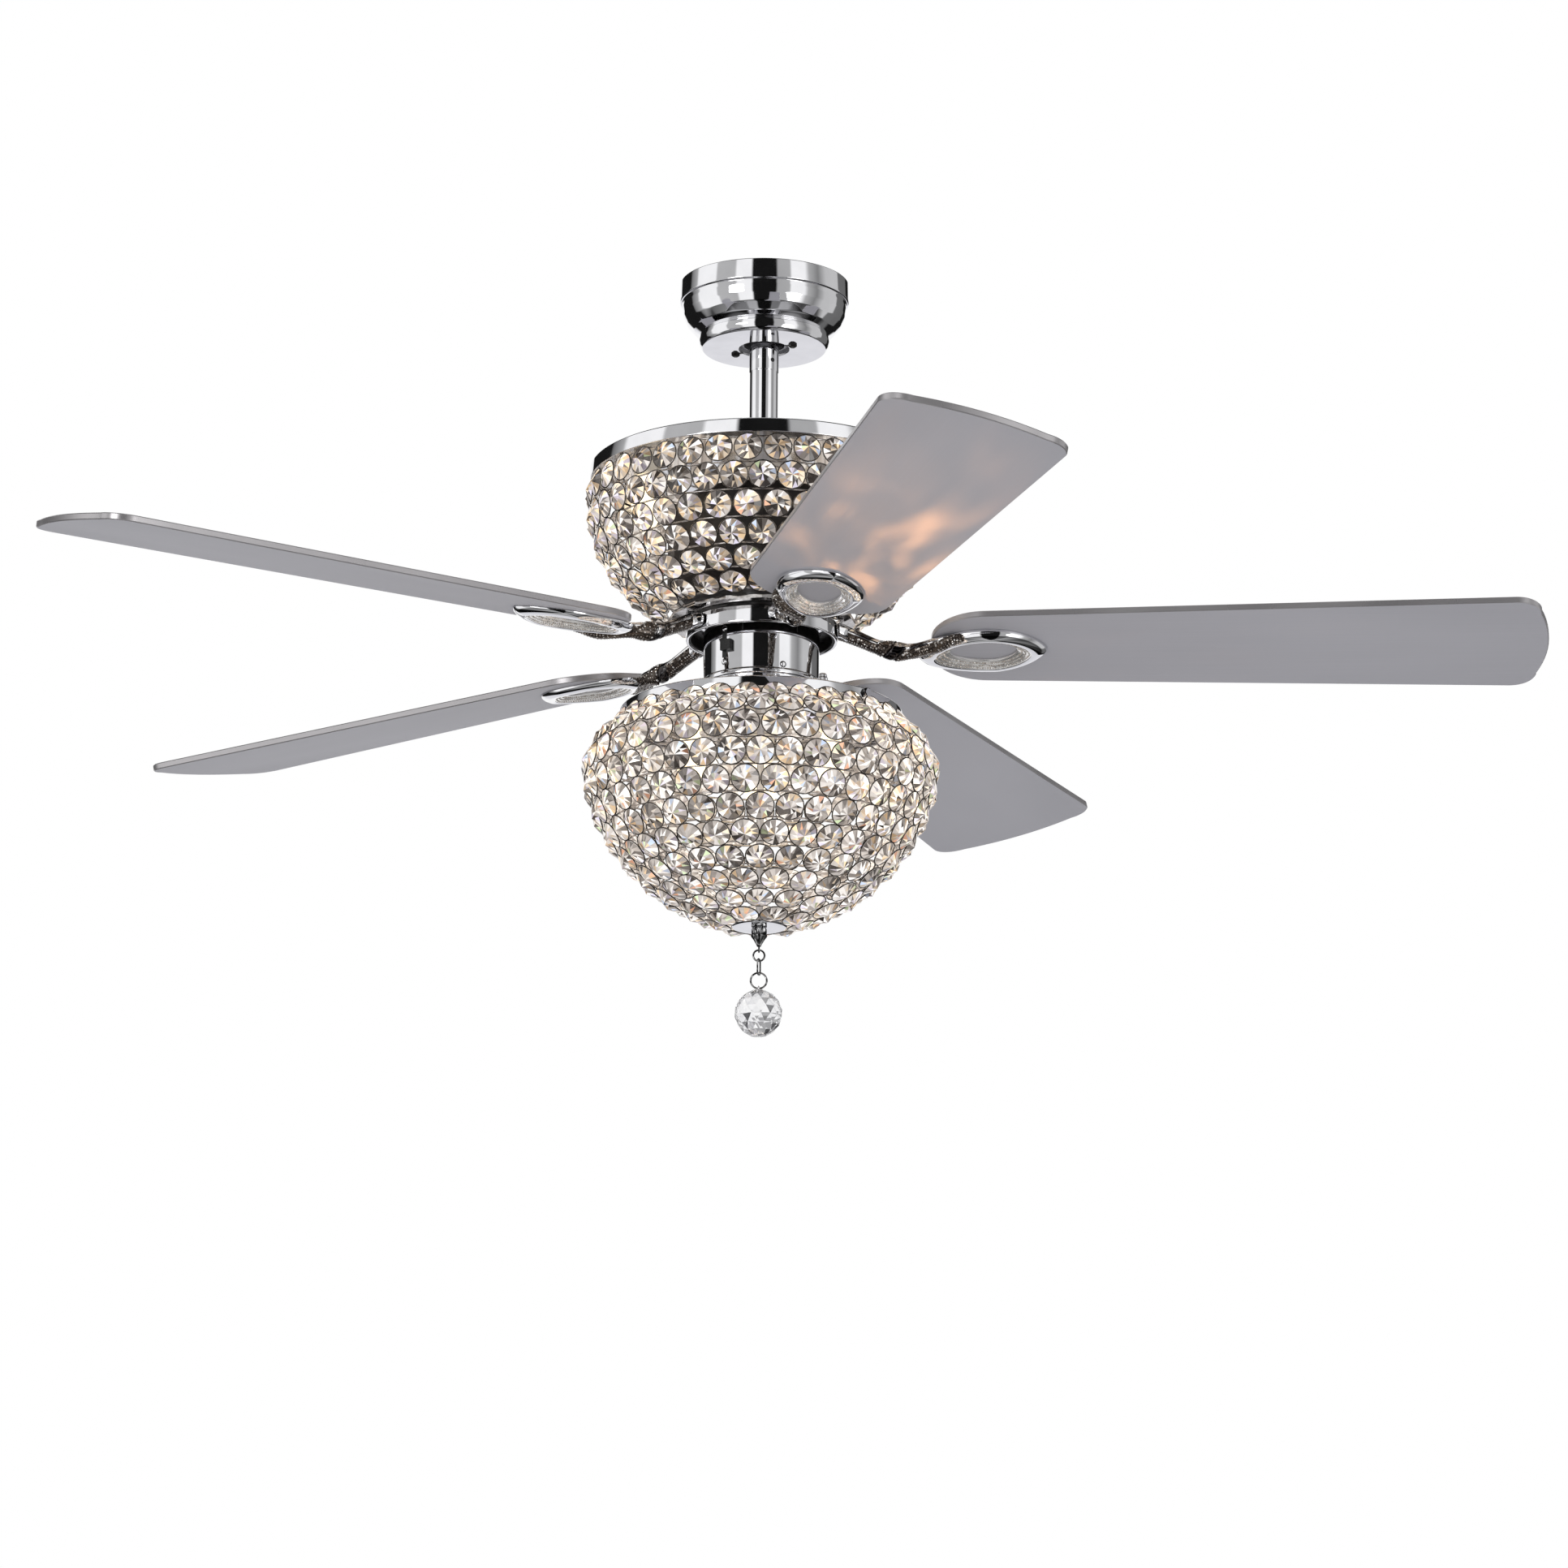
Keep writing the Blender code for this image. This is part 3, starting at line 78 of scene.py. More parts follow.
# Brightness from straight down, 0, to straight up, 1, in front of the object and behind it
FRONT_LEVELS = [
    (0.0, 0.5), (0.07, 0.3), (0.185, 0.12), (0.225, 1.0), (0.79, 1.0), (0.82, 0.03), (0.87, 0.03),
    (0.91, 0.42), (1.0, 0.55)]
REAR_LEVELS = [
    (0.0, 0.5), (0.09, 0.3), (0.14, (0.7, 0.7, 0.73)), (0.4, (0.8, 0.8, 0.83)), (0.46, 1.0),
    (0.8, 1.0), (0.83, 0.03), (0.88, 0.03), (0.92, 0.42), (1.0, 0.55)]
REAR_FROM = 156
EVEN_LIGHT = (0.86, 0.86, 0.87)
WHITE = (1.0, 1.0, 1.0)

AIM = (0, 0, -0.35)
KEY_LAMP = ((-2.6, -3.2, -0.2), 26, 1.6)
FILL_LAMP = ((2.8, -3.0, -1.6), 20, 1.8)
BULB_LAMP = (0.07, 0.012, (1.0, 0.86, 0.7))


def axes(place, x, y, z):
    """A frame at the place, with these three directions."""
    return Matrix.Translation(place) @ Matrix((x, y, z)).transposed().to_4x4()


def camera():
    """The photograph's camera, fitted to the outlines of the blades."""
    pitch, yaw, roll = radians(CAMERA_PITCH), radians(CAMERA_YAW), radians(CAMERA_ROLL)
    ahead = Vector((sin(yaw) * cos(pitch), cos(yaw) * cos(pitch), sin(pitch)))
    right = Vector((cos(yaw), -sin(yaw), 0))
    up = right.cross(ahead)
    across = right * cos(roll) + up * sin(roll)
    upward = up * cos(roll) - right * sin(roll)
    data = bpy.data.cameras.new("camera")
    data.sensor_width = SENSOR
    data.lens = FOCAL_PIXELS / PHOTO_PIXELS * SENSOR
    data.clip_start = 0.1
    data.clip_end = 60
    cam = bpy.data.objects.new("camera", data)
    SCENE.collection.objects.link(cam)
    cam.matrix_world = axes(CAMERA_PLACE, across, upward, -ahead)
    SCENE.camera = cam


def link(tree, a, b):
    tree.links.new(a, b)


def ramp(tree, value, stops, interpolation="LINEAR"):
    """The value read off stops of (place, colour); a plain number is a grey."""
    node = tree.nodes.new("ShaderNodeValToRGB")
    node.color_ramp.interpolation = interpolation
    elements = node.color_ramp.elements
    while len(elements) < len(stops):
        elements.new(0.5)
    for element, (place, colour) in zip(elements, stops):
        element.position = place
        grey = isinstance(colour, (int, float))
        element.color = (colour, colour, colour, 1) if grey else (*colour, 1)
    link(tree, value, node.inputs["Fac"])
    return node.outputs["Color"]


def maths(tree, operation, a, b=0.0, c=0.0):
    node = tree.nodes.new("ShaderNodeMath")
    node.operation = operation
    for socket, value in zip(node.inputs, (a, b, c)):
        if isinstance(value, (int, float)):
            socket.default_value = value
        else:
            link(tree, value, socket)
    return node.outputs[0]


def mix(tree, share, a, b, blend="MIX"):
    """Two colours mixed. The node's sockets 0, 6 and 7 are its share and its colours A and B."""
    node = tree.nodes.new("ShaderNodeMix")
    node.data_type = "RGBA"
    node.blend_type = blend
    for place, value in ((0, share), (6, a), (7, b)):
        socket = node.inputs[place]
        if isinstance(value, (int, float)):
            socket.default_value = value if place == 0 else (value, value, value, 1)
        elif isinstance(value, tuple):
            socket.default_value = (*value, 1)
        else:
            link(tree, value, socket)
    return node.outputs[2]


def times(tree, a, b):
    return mix(tree, 1.0, a, b, "MULTIPLY")


def noise(tree, scale, detail=2.0, coords="Object", stretch=(1, 1, 1), distortion=0.0):
    node = tree.nodes.new("ShaderNodeTexNoise")
    node.inputs["Scale"].default_value = scale
    node.inputs["Detail"].default_value = detail
    node.inputs["Distortion"].default_value = distortion
    place = tree.nodes.new("ShaderNodeTexCoord")
    mapping = tree.nodes.new("ShaderNodeMapping")
    mapping.inputs["Scale"].default_value = stretch
    link(tree, place.outputs[coords], mapping.inputs["Vector"])
    link(tree, mapping.outputs["Vector"], node.inputs["Vector"])
    return node.outputs["Fac"]


def directions(tree, coords):
    """The x, y and z of a coordinate."""
    place = tree.nodes.new("ShaderNodeTexCoord")
    split = tree.nodes.new("ShaderNodeSeparateXYZ")
    link(tree, place.outputs[coords], split.inputs[0])
    return split.outputs["X"], split.outputs["Y"], split.outputs["Z"]


def world():
    """White where it is seen; for gloss, a white studio with dark flags; even light otherwise."""
    made = bpy.data.worlds.new("studio")
    SCENE.world = made
    made.use_nodes = True
    tree = made.node_tree
    shader = tree.nodes["Background"]
    x, y, z = directions(tree, "Generated")
    angle = maths(tree, "ARCTAN2", x, maths(tree, "MULTIPLY", y, -1.0))
    turn = maths(tree, "MULTIPLY_ADD", angle, 0.5 / pi, 0.5)
    height = maths(tree, "MULTIPLY_ADD", z, 0.5, 0.5)
    behind = maths(tree, "GREATER_THAN", maths(tree, "ABSOLUTE", angle), radians(REAR_FROM))
    level = mix(tree, behind, ramp(tree, height, FRONT_LEVELS), ramp(tree, height, REAR_LEVELS))
    panels = ramp(tree, turn, [((degrees + 180) / 360, bright) for degrees, bright in PANELS])
    path = tree.nodes.new("ShaderNodeLightPath")
    seen = maths(tree, "MAXIMUM", path.outputs["Is Camera Ray"], path.outputs["Is Transmission Ray"])
    colour = mix(tree, path.outputs["Is Glossy Ray"], EVEN_LIGHT, times(tree, panels, level))
    link(tree, mix(tree, seen, colour, WHITE), shader.inputs["Color"])
    shader.inputs["Strength"].default_value = 1.0


def floor():
    bm = bmesh.new()
    bmesh.ops.create_grid(bm, x_segments=2, y_segments=2, size=FLOOR_HALF)
    mesh = bpy.data.meshes.new("floor")
    bm.to_mesh(mesh)
    bm.free()
    obj = bpy.data.objects.new("floor", mesh)
    SCENE.collection.objects.link(obj)
    obj.location = (0, 0, FLOOR_Z)
    obj.visible_glossy = False
    tree, shader = principled("floor_white", Roughness=0.9)
    vary(tree, noise(tree, 3.0), shader.inputs["Base Color"], *FLOOR_GREYS)
    mesh.materials.append(MATERIALS["floor_white"])


def lamp(name, kind, place, energy, size, colour=(1, 1, 1)):
    data = bpy.data.lights.new(name, kind)
    data.energy = energy
    data.color = colour
    if kind == "AREA":
        data.shape = "DISK"
        data.size = size
    else:
        data.shadow_soft_size = size
    obj = bpy.data.objects.new(name, data)
    SCENE.collection.objects.link(obj)
    obj.location = place
    obj.rotation_mode = "QUATERNION"
    obj.rotation_quaternion = (Vector(AIM) - Vector(place)).to_track_quat("-Z", "Y")
    return obj


def lamps():
    lamp("key", "AREA", *KEY_LAMP)
    lamp("fill", "AREA", *FILL_LAMP)
    for place in bulb_places("upper") + bulb_places("lower"):
        lamp("bulb_light", "POINT", place, *BULB_LAMP)


# Materials

MATERIALS = {}
# Painted reflections: the lightness of the pull ball's facets
CLEAR_FACETS = [
    (0.0, (0.015, 0.015, 0.016)), (0.25, (0.3, 0.3, 0.31)), (0.5, (0.8, 0.8, 0.82)), (1.0, WHITE)]
# Painted reflections: the lightness of the cut crystals' facets, which also glow with it
CUT_FACETS = [
    (0.0, (0.016, 0.013, 0.011)), (0.08, (0.062, 0.053, 0.048)), (0.25, (0.185, 0.166, 0.152)),
    (0.5, (0.375, 0.341, 0.316)), (0.75, (0.635, 0.593, 0.56)), (0.93, (1.0, 0.98, 0.955))]
# Painted coloured fire and warm bulb light on the crystals' facets
PAINTED_FIRE_HUES = [
    (0.0, WHITE), (0.7, (1.0, 0.88, 0.7)), (0.8, (1.0, 0.76, 0.48)), (0.87, (0.82, 0.8, 1.0)),
    (0.92, (0.6, 0.74, 1.0)), (0.95, (1.0, 0.54, 0.36)), (0.975, (0.72, 0.9, 0.58))]
# Painted glow in the crystals, by how near a bulb they are: the facets give off light, faintly everywhere and
# strongly next to a bulb
PAINTED_BULB_GLOW = [
    (0.0, (0.4, 0.4, 0.4)), (0.3, (0.46, 0.45, 0.43)), (0.6, (0.85, 0.78, 0.66)),
    (0.9, (2.4, 2.15, 1.7))]
# Painted reflections and glints of the pave beads and strips
PAVE_FACETS = [
    (0.0, (0.03, 0.024, 0.02)), (0.35, (0.19, 0.155, 0.13)), (0.6, (0.62, 0.56, 0.5)),
    (0.9, (1.0, 0.99, 0.97))]


def principled(name, **values):
    mat = bpy.data.materials.new(name)
    mat.use_nodes = True
    shader = mat.node_tree.nodes["Principled BSDF"]
    for key, value in values.items():
        shader.inputs[key.replace("_", " ")].default_value = value
    MATERIALS[name] = mat
    return mat.node_tree, shader


def attribute(tree, name):
    node = tree.nodes.new("ShaderNodeAttribute")
    node.attribute_name = name
    return node.outputs["Fac"]


def vary(tree, value, socket, low, high, edges=(0.3, 0.7)):
    """The socket goes from low to high while the value goes from one edge to the other."""
    link(tree, ramp(tree, value, [(edges[0], low), (edges[1], high)]), socket)


def clouded(name, metallic, colours, roughness, grain, detail=3.0, edges=(0.3, 0.7), rough_edges=(0.3, 0.7)):
    """A finish whose colour and roughness drift between two values in a fine noise."""
    tree, shader = principled(name, Metallic=metallic)
    cloud = noise(tree, grain, detail)
    vary(tree, cloud, shader.inputs["Base Color"], *colours, edges)
    vary(tree, cloud, shader.inputs["Roughness"], *roughness, rough_edges)


def polished(name, dark, light, roughness, grain, edges=(0.3, 0.7)):
    clouded(name, 1.0, (dark, light), roughness, grain, 3.0, edges, (0.35, 0.75))


def metal_finishes():
    polished("chrome", (0.84, 0.84, 0.86), (0.9, 0.9, 0.92), (0.03, 0.07), 60.0)
    polished("wire", (0.4, 0.38, 0.37), (0.66, 0.64, 0.63), (0.08, 0.16), 300.0)
    # Chrome with painted reflections: sharp patches of near black and near white, for the rope's polished
    # strand
    polished("chrome_painted_reflections", (0.06, 0.055, 0.055), (0.85, 0.84, 0.84), (0.03, 0.07), 70.0, (0.48, 0.6))
    # Bezels of chrome made nearly black: painted dark reflection
    polished("bezel", (0.05, 0.043, 0.038), (0.2, 0.18, 0.165), (0.08, 0.2), 300.0)
    # A darker copy of chrome with painted dark reflections and light patches, for the finial and the chain
    polished("chrome_painted_dark_reflections", (0.03, 0.03, 0.03), (0.55, 0.55, 0.55), (0.04, 0.09), 240.0, (0.46, 0.62))
    polished("plain_steel", (0.45, 0.45, 0.47), (0.6, 0.6, 0.62), (0.3, 0.45), 150.0)


def plain_finishes():
    # Near-black enamel of the motor, also used as painted shade
    clouded("enamel_and_painted_shade", 0.4, ((0.006, 0.005, 0.005), (0.018, 0.015, 0.014)), (0.35, 0.55), 220.0, 4.0)
    clouded("holder_sleeve", 0.0, ((0.74, 0.7, 0.62), (0.86, 0.83, 0.76)), (0.4, 0.6), 120.0)
    # Black of the hanger ball and the switch, also used as painted shade for holes and slots
    clouded("black_and_painted_shade", 0.0, ((0.008, 0.008, 0.008), (0.022, 0.022, 0.022)), (0.35, 0.5), 800.0)


def blade_satin():
    """Satin silver, brushed along the blade."""
    tree, shader = principled("blade_satin", Metallic=0.25)
    streak = noise(tree, 1.0, 4.0, "UV", (7.0, 520.0, 1.0))
    cloud = noise(tree, 1.0, 2.0, "UV", (3.0, 9.0, 1.0))
    tone = maths(tree, "MULTIPLY_ADD", streak, 0.5, maths(tree, "MULTIPLY", cloud, 0.5))
    vary(tree, tone, shader.inputs["Base Color"], (0.378, 0.375, 0.405), (0.442, 0.438, 0.471))
    vary(tree, streak, shader.inputs["Roughness"], 0.46, 0.6)
    bump = tree.nodes.new("ShaderNodeBump")
    bump.inputs["Strength"].default_value = 0.12
    bump.inputs["Distance"].default_value = 0.0002
    link(tree, streak, bump.inputs["Height"])
    link(tree, bump.outputs["Normal"], shader.inputs["Normal"])


def blade_edge():
    tree, shader = principled("blade_edge", Metallic=0.7)
    streak = noise(tree, 1.0, 2.0, "UV", (9.0, 9.0, 1.0))
    vary(tree, streak, shader.inputs["Base Color"], (0.44, 0.425, 0.435), (0.52, 0.505, 0.515))
    vary(tree, streak, shader.inputs["Roughness"], 0.24, 0.32)


def faceted(name, stops, roughness, grain, **values):
    """A cut surface: each facet is given a painted lightness that stands for what it reflects. Returns that
    colour as well.
    """
    tree, shader = principled(name, **values)
    own = ramp(tree, attribute(tree, "facet"), stops)
    vary(tree, noise(tree, grain, 2.0), shader.inputs["Roughness"], *roughness, (0.3, 0.8))
    return tree, shader, own


def stone_finishes():
    tree, shader, own = faceted("pave", PAVE_FACETS, (0.06, 0.22), 900.0, Metallic=0.75)
    link(tree, own, shader.inputs["Base Color"])

    tree, shader, own = faceted("crystal_clear", CLEAR_FACETS, (0.01, 0.05), 500.0, Metallic=0.0, IOR=1.5,
                                Transmission_Weight=0.75)
    link(tree, own, shader.inputs["Base Color"])

    # The cut crystals carry painted reflections, painted coloured fire and a painted glow: they give off
    # light though they are no lamp
    tree, shader, own = faceted("crystal_cut", CUT_FACETS, (0.02, 0.07), 900.0, Metallic=0.0, IOR=1.6,
                                Transmission_Weight=0.3, Emission_Strength=1.0)
    own = times(tree, own, ramp(tree, attribute(tree, "tint"), PAINTED_FIRE_HUES, "CONSTANT"))
    link(tree, own, shader.inputs["Base Color"])
    painted_glow_colour = ramp(tree, attribute(tree, "glow"), PAINTED_BULB_GLOW)
    link(tree, times(tree, own, painted_glow_colour), shader.inputs["Emission Color"])


def lit_bulb():
    tree, shader = principled("lit_bulb", Metallic=0.0, Roughness=0.3, Emission_Strength=1.6)
    cloud = noise(tree, 60.0, 2.0)
    vary(tree, cloud, shader.inputs["Base Color"], (1.0, 0.88, 0.66), (1.0, 0.92, 0.75))
    vary(tree, cloud, shader.inputs["Emission Color"], (1.0, 0.8, 0.5), (1.0, 0.86, 0.6))


# Building pieces

def piece(name, verts, faces, mat, body, slot, smooth=True, angle=35.0, floats=None, uv=None, edge=None,
          node=None):
    """A mesh piece that rides on a body, and the node of the solids that it stands for, if any.

    floats holds face values by name, uv one pair per vertex, and edge a second material with, for each
    face, a 1 where it has that one.
    """
    mesh = bpy.data.meshes.new(name)
    mesh.from_pydata([tuple(v) for v in verts], [], faces)
    mesh.validate()
    mesh.materials.append(MATERIALS[mat])
    if edge:
        mesh.materials.append(MATERIALS[edge[0]])
        mesh.polygons.foreach_set("material_index", edge[1])
    for key, values in (floats or {}).items():
        layer = mesh.attributes.new(key, "FLOAT", "FACE")
        layer.data.foreach_set("value", values)
    if uv:
        layer = mesh.uv_layers.new(name="UVMap")
        for loop in mesh.loops:
            layer.data[loop.index].uv = uv[loop.vertex_index]
    bm = bmesh.new()
    bm.from_mesh(mesh)
    bmesh.ops.recalc_face_normals(bm, faces=bm.faces)
    bm.to_mesh(mesh)
    bm.free()
    mesh.polygons.foreach_set("use_smooth", [smooth] * len(mesh.polygons))
    if smooth:
        mesh.set_sharp_from_angle(angle=radians(angle))
    obj = bpy.data.objects.new(name, mesh)
    SCENE.collection.objects.link(obj)
    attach(obj, body)
    if node:
        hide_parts(node)
    return obj


class Shape:
    """Vertices, faces and face values of one piece in the making."""

    def __init__(self):
        self.verts = []
        self.faces = []
        self.floats = {}

    def add(self, verts, faces, **values):
        base = len(self.verts)
        self.verts += verts
        self.faces += [tuple(base + i for i in face) for face in faces]
        for key, value in values.items():
            many = value if isinstance(value, list) else [value] * len(faces)
            self.floats.setdefault(key, []).extend(many)

    def piece(self, name, mat, body="hanging", slot="chrome", **rest):
        return piece(name, self.verts, self.faces, mat, body, slot, floats=self.floats, **rest)


def polar(reach, angle, z=0.0):
    return Vector((reach * cos(angle), reach * sin(angle), z))


def rounded(points, radius, steps=4):
    """The profile with its corners rounded; an open one, which starts on the axis, keeps its ends."""
    closed = points[0][0] != 0
    count = len(points)
    made = []
    for i, point in enumerate(points):
        if not closed and i in (0, count - 1):
            made.append(point)
            continue
        p = Vector(point)
        a, b = Vector(points[i - 1]), Vector(points[(i + 1) % count])
        reach_a = min(radius, (a - p).length * 0.45)
        reach_b = min(radius, (b - p).length * 0.45)
        start = p + (a - p).normalized() * reach_a
        end = p + (b - p).normalized() * reach_b
        for k in range(steps + 1):
            t = k / steps
            q = start * (1 - t) ** 2 + p * 2 * t * (1 - t) + end * t ** 2
            made.append((q.x, q.y))
    return made


def lathe(profile, seg=96, about=Matrix(), wave=None):
    """Turned about Z; the profile closes on itself unless it starts on the axis."""
    verts, faces, rings = [], [], []
    for k, (radius, z) in enumerate(profile):
        if radius <= 1e-7:
            rings.append([len(verts)] * seg)
            verts.append(about @ Vector((0, 0, z)))
            continue
        ring = []
        for i in range(seg):
            a = 2 * pi * i / seg
            ring.append(len(verts))
            verts.append(about @ polar(radius * (wave(a, k) if wave else 1.0), a, z))
        rings.append(ring)
    pairs = list(zip(rings, rings[1:]))
    if profile[0][0] > 1e-7:
        pairs.append((rings[-1], rings[0]))
    for low, high in pairs:
        for i in range(seg):
            j = (i + 1) % seg
            corners = tuple(dict.fromkeys((low[i], low[j], high[j], high[i])))
            if len(corners) > 2:
                faces.append(corners)
    return verts, faces


def skin(rings, count, closed=False):
    """Faces between rings of so many vertices; closed joins the last ring to the first."""
    faces = []
    for i in range(rings if closed else rings - 1):
        a, b = i * count, (i + 1) % rings * count
        for k in range(count):
            m = (k + 1) % count
            faces.append((a + k, a + m, b + m, b + k))
    return faces


def torus(radius, wire, about, seg=24, sides=8, stretch=0.0):
    """A ring of wire, or a long link where stretch moves its two halves apart."""
    verts = []
    for i in range(seg):
        a = 2 * pi * (i + 0.5) / seg
        shift = stretch if sin(a) > 0 else -stretch
        out = polar(1.0, a)
        centre = out * radius + Vector((0, shift, 0))
        for k in range(sides):
            b = 2 * pi * k / sides
            rise = Vector((0, 0, wire * sin(b)))
            verts.append(about @ (centre + out * wire * cos(b) + rise))
    return verts, skin(seg, sides, True)


def sweep(centres, acrosses, ups, section):
    """section(i) gives (wide, deep) pairs for station i, along across and up."""
    verts = []
    for i, centre in enumerate(centres):
        verts += [centre + acrosses[i] * wide + ups[i] * deep for wide, deep in section(i)]
    count = len(verts) // len(centres)
    ends = [tuple(range(count)), tuple(range(len(verts) - count, len(verts)))]
    return verts, skin(len(centres), count) + ends


def moved(angle, radius):
    """A shift outward from the axis, in the direction of the angle."""
    return Matrix.Translation(polar(radius, radians(angle)))


def upright(turn):
    """Stands a flat ring up and turns it about Z."""
    return Matrix.Rotation(radians(turn), 4, "Z") @ Matrix.Rotation(radians(90), 4, "X")


def on_round(degrees, radius, z):
    """A place on an upright round surface, with the local z outward."""
    out = polar(1.0, radians(degrees))
    place = out * radius + Vector((0, 0, z))
    return Matrix.Translation(place) @ out.to_track_quat("Z", "Y").to_matrix().to_4x4()


def turning(name, profile, radius, node, seg, body="hanging", mat="chrome", slot="chrome", **rest):
    verts, faces = lathe(rounded(profile, radius), seg, **rest)
    piece(name, verts, faces, mat, body, slot, node=node)


# Sizes and places, the same as the solids have

GAP = 0.0003
PLATE_TOP = -0.167
PLATE_R = 0.1465
KIT_TOP = -0.3808
KIT_R = 0.119
SHEET = 0.0015
HOUSING_R = 0.049
DOWNROD_R = 0.0125
BLADE_Z = -0.3235
BLADE_PITCH = 11.3
BLADE_T = 0.0055
BLADE_TURN = -3.4
BLADES = 5
END_TOP = -0.5641
RING_1_Z = -0.5901
LINK_Z = -0.5998
RING_2_Z = -0.6115
PULL_Z = -0.63945
PULL_R = 0.02
PULL_EYE = 0.0211
HOLDER_H = 0.022
BULB_H = 0.052
BULBS = {"upper": (0.112, PLATE_TOP - 0.0018), "lower": (0.067, KIT_TOP - 0.0018)}

# Crystal baskets

CRYSTAL_PITCH = 0.0243
CRYSTAL_R = 0.0112
CRYSTAL_OUT = 0.005
CRYSTAL_IN = 0.0034
CRYSTAL_SIDES = 14
BEZEL_R = 0.01165
BEZEL_WIRE = 0.0006
HOOP_IN = 0.0046
HOOP_WIRE = 0.0008
TOP_ROW = (0.1245, -0.3985, Vector((0.3, 0, -0.95)).normalized())
UPPER_ROWS = 6
LOWER_ROWS = 11
SIDE_REACH = 0.12
# Painted shade on the crystals: how dark they are on the whole, where 1 is even and more is darker; the lower
# bowl lighter at the sides, the upper one darker in the middle and by bands of rows, and lighter on the left
LOWER_DARK = 0.97
LOWER_LIGHTER_RIGHT = 0.22
LOWER_LIGHTER_LEFT = 0.1
UPPER_DARKER_MIDDLE = 0.2
UPPER_DARKER_BANDS = (0.12, -0.1, -0.16)
UPPER_LIGHTER_LEFT = 0.12


def basket_curve(radius, mid, rise, drop, top, end, power):
    """A bowl's side, as (radius, z): widest at mid, and two super-ellipses above and below it."""
    curve = []
    for i in range(241):
        z = top + (end - top) * i / 240
        reach = (z - mid) / rise if z > mid else (mid - z) / drop
        curve.append((radius * (1 - reach ** power) ** (1 / power), z))
    return curve


def stations_on(curve, rows, offset, count):
    """The radius, z and slope at evenly spaced places along the curve."""
    lengths = [0.0]
    for (r0, z0), (r1, z1) in zip(curve, curve[1:]):
        lengths.append(lengths[-1] + hypot(r1 - r0, z1 - z0))
    found = []
    for row in range(count):
        want = min(max(lengths[-1] / rows * (row + offset), 1e-6), lengths[-1] - 1e-6)
        k = next(i for i, length in enumerate(lengths) if length >= want)
        share = (want - lengths[k - 1]) / (lengths[k] - lengths[k - 1])
        (r0, z0), (r1, z1) = curve[k - 1], curve[k]
        slope = Vector((r1 - r0, 0, z1 - z0)).normalized()
        found.append((r0 + (r1 - r0) * share, z0 + (z1 - z0) * share, slope))
    return found


def crystals_in(radius, row):
    """Odd and even numbers take turns, so the rows are staggered."""
    odd = (row + 1) % 2
    return 2 * round((2 * pi * radius / CRYSTAL_PITCH - odd) / 2) + odd


def cut_crystal(jitter):
    """A round crystal: wedges to a point in front, a thin girdle, and a cut back. Local z is outward."""
    sides = CRYSTAL_SIDES
    levels = [(CRYSTAL_R * 0.52, CRYSTAL_OUT * 0.62), (CRYSTAL_R, 0.0005), (CRYSTAL_R, -0.0006),
              (CRYSTAL_R * 0.5, -CRYSTAL_IN * 0.7)]
    verts = [Vector((0, 0, CRYSTAL_OUT))]
    for k, (reach, level) in enumerate(levels):
        for i in range(sides):
            a = 2 * pi * (i + (0.5 if k == 3 else 0.0)) / sides + jitter
            verts.append(polar(reach, a, level))
    verts.append(Vector((0, 0, -CRYSTAL_IN)))
    faces, groups = [], []
    rows = [1 + k * sides for k in range(4)]
    for i in range(sides):
        j = (i + 1) % sides
        faces.append((0, rows[0] + i, rows[0] + j))
        faces.append((rows[0] + i, rows[1] + i, rows[1] + j))
        faces.append((rows[0] + i, rows[1] + j, rows[0] + j))
        faces.append((rows[1] + i, rows[2] + i, rows[2] + j, rows[1] + j))
        groups += [("wedge", i), ("rim", i), ("rim", i), ("girdle", i)]
        faces.append((rows[2] + i, rows[3] + i, rows[2] + j))
        faces.append((rows[2] + j, rows[3] + i, rows[3] + j))
        faces.append((rows[3] + i, len(verts) - 1, rows[3] + j))
        groups += [("back", i)] * 3
    return verts, faces, groups


def bulb_places(which):
    """The middles of the three bulbs."""
    radius, top = BULBS[which]
    middle = top - HOLDER_H - GAP - BULB_H / 2
    return [polar(radius, radians(90 + 120 * i), middle) for i in range(3)]


def painted_shade_of(which, row, x):
    """The painted shade of a crystal: how dark it is made, by its row and how far it lies to the left or
    right.
    """
    share = x / SIDE_REACH
    if which == "lower":
        return LOWER_DARK - LOWER_LIGHTER_RIGHT * max(0.0, share) - LOWER_LIGHTER_LEFT * max(0.0, -share)
    middle = UPPER_DARKER_MIDDLE * max(0.0, 1.0 - share ** 2)
    dark = 1.0 + middle + UPPER_DARKER_BANDS[row // 2]
    return dark - (UPPER_LIGHTER_LEFT if share < -0.5 else 0.0)


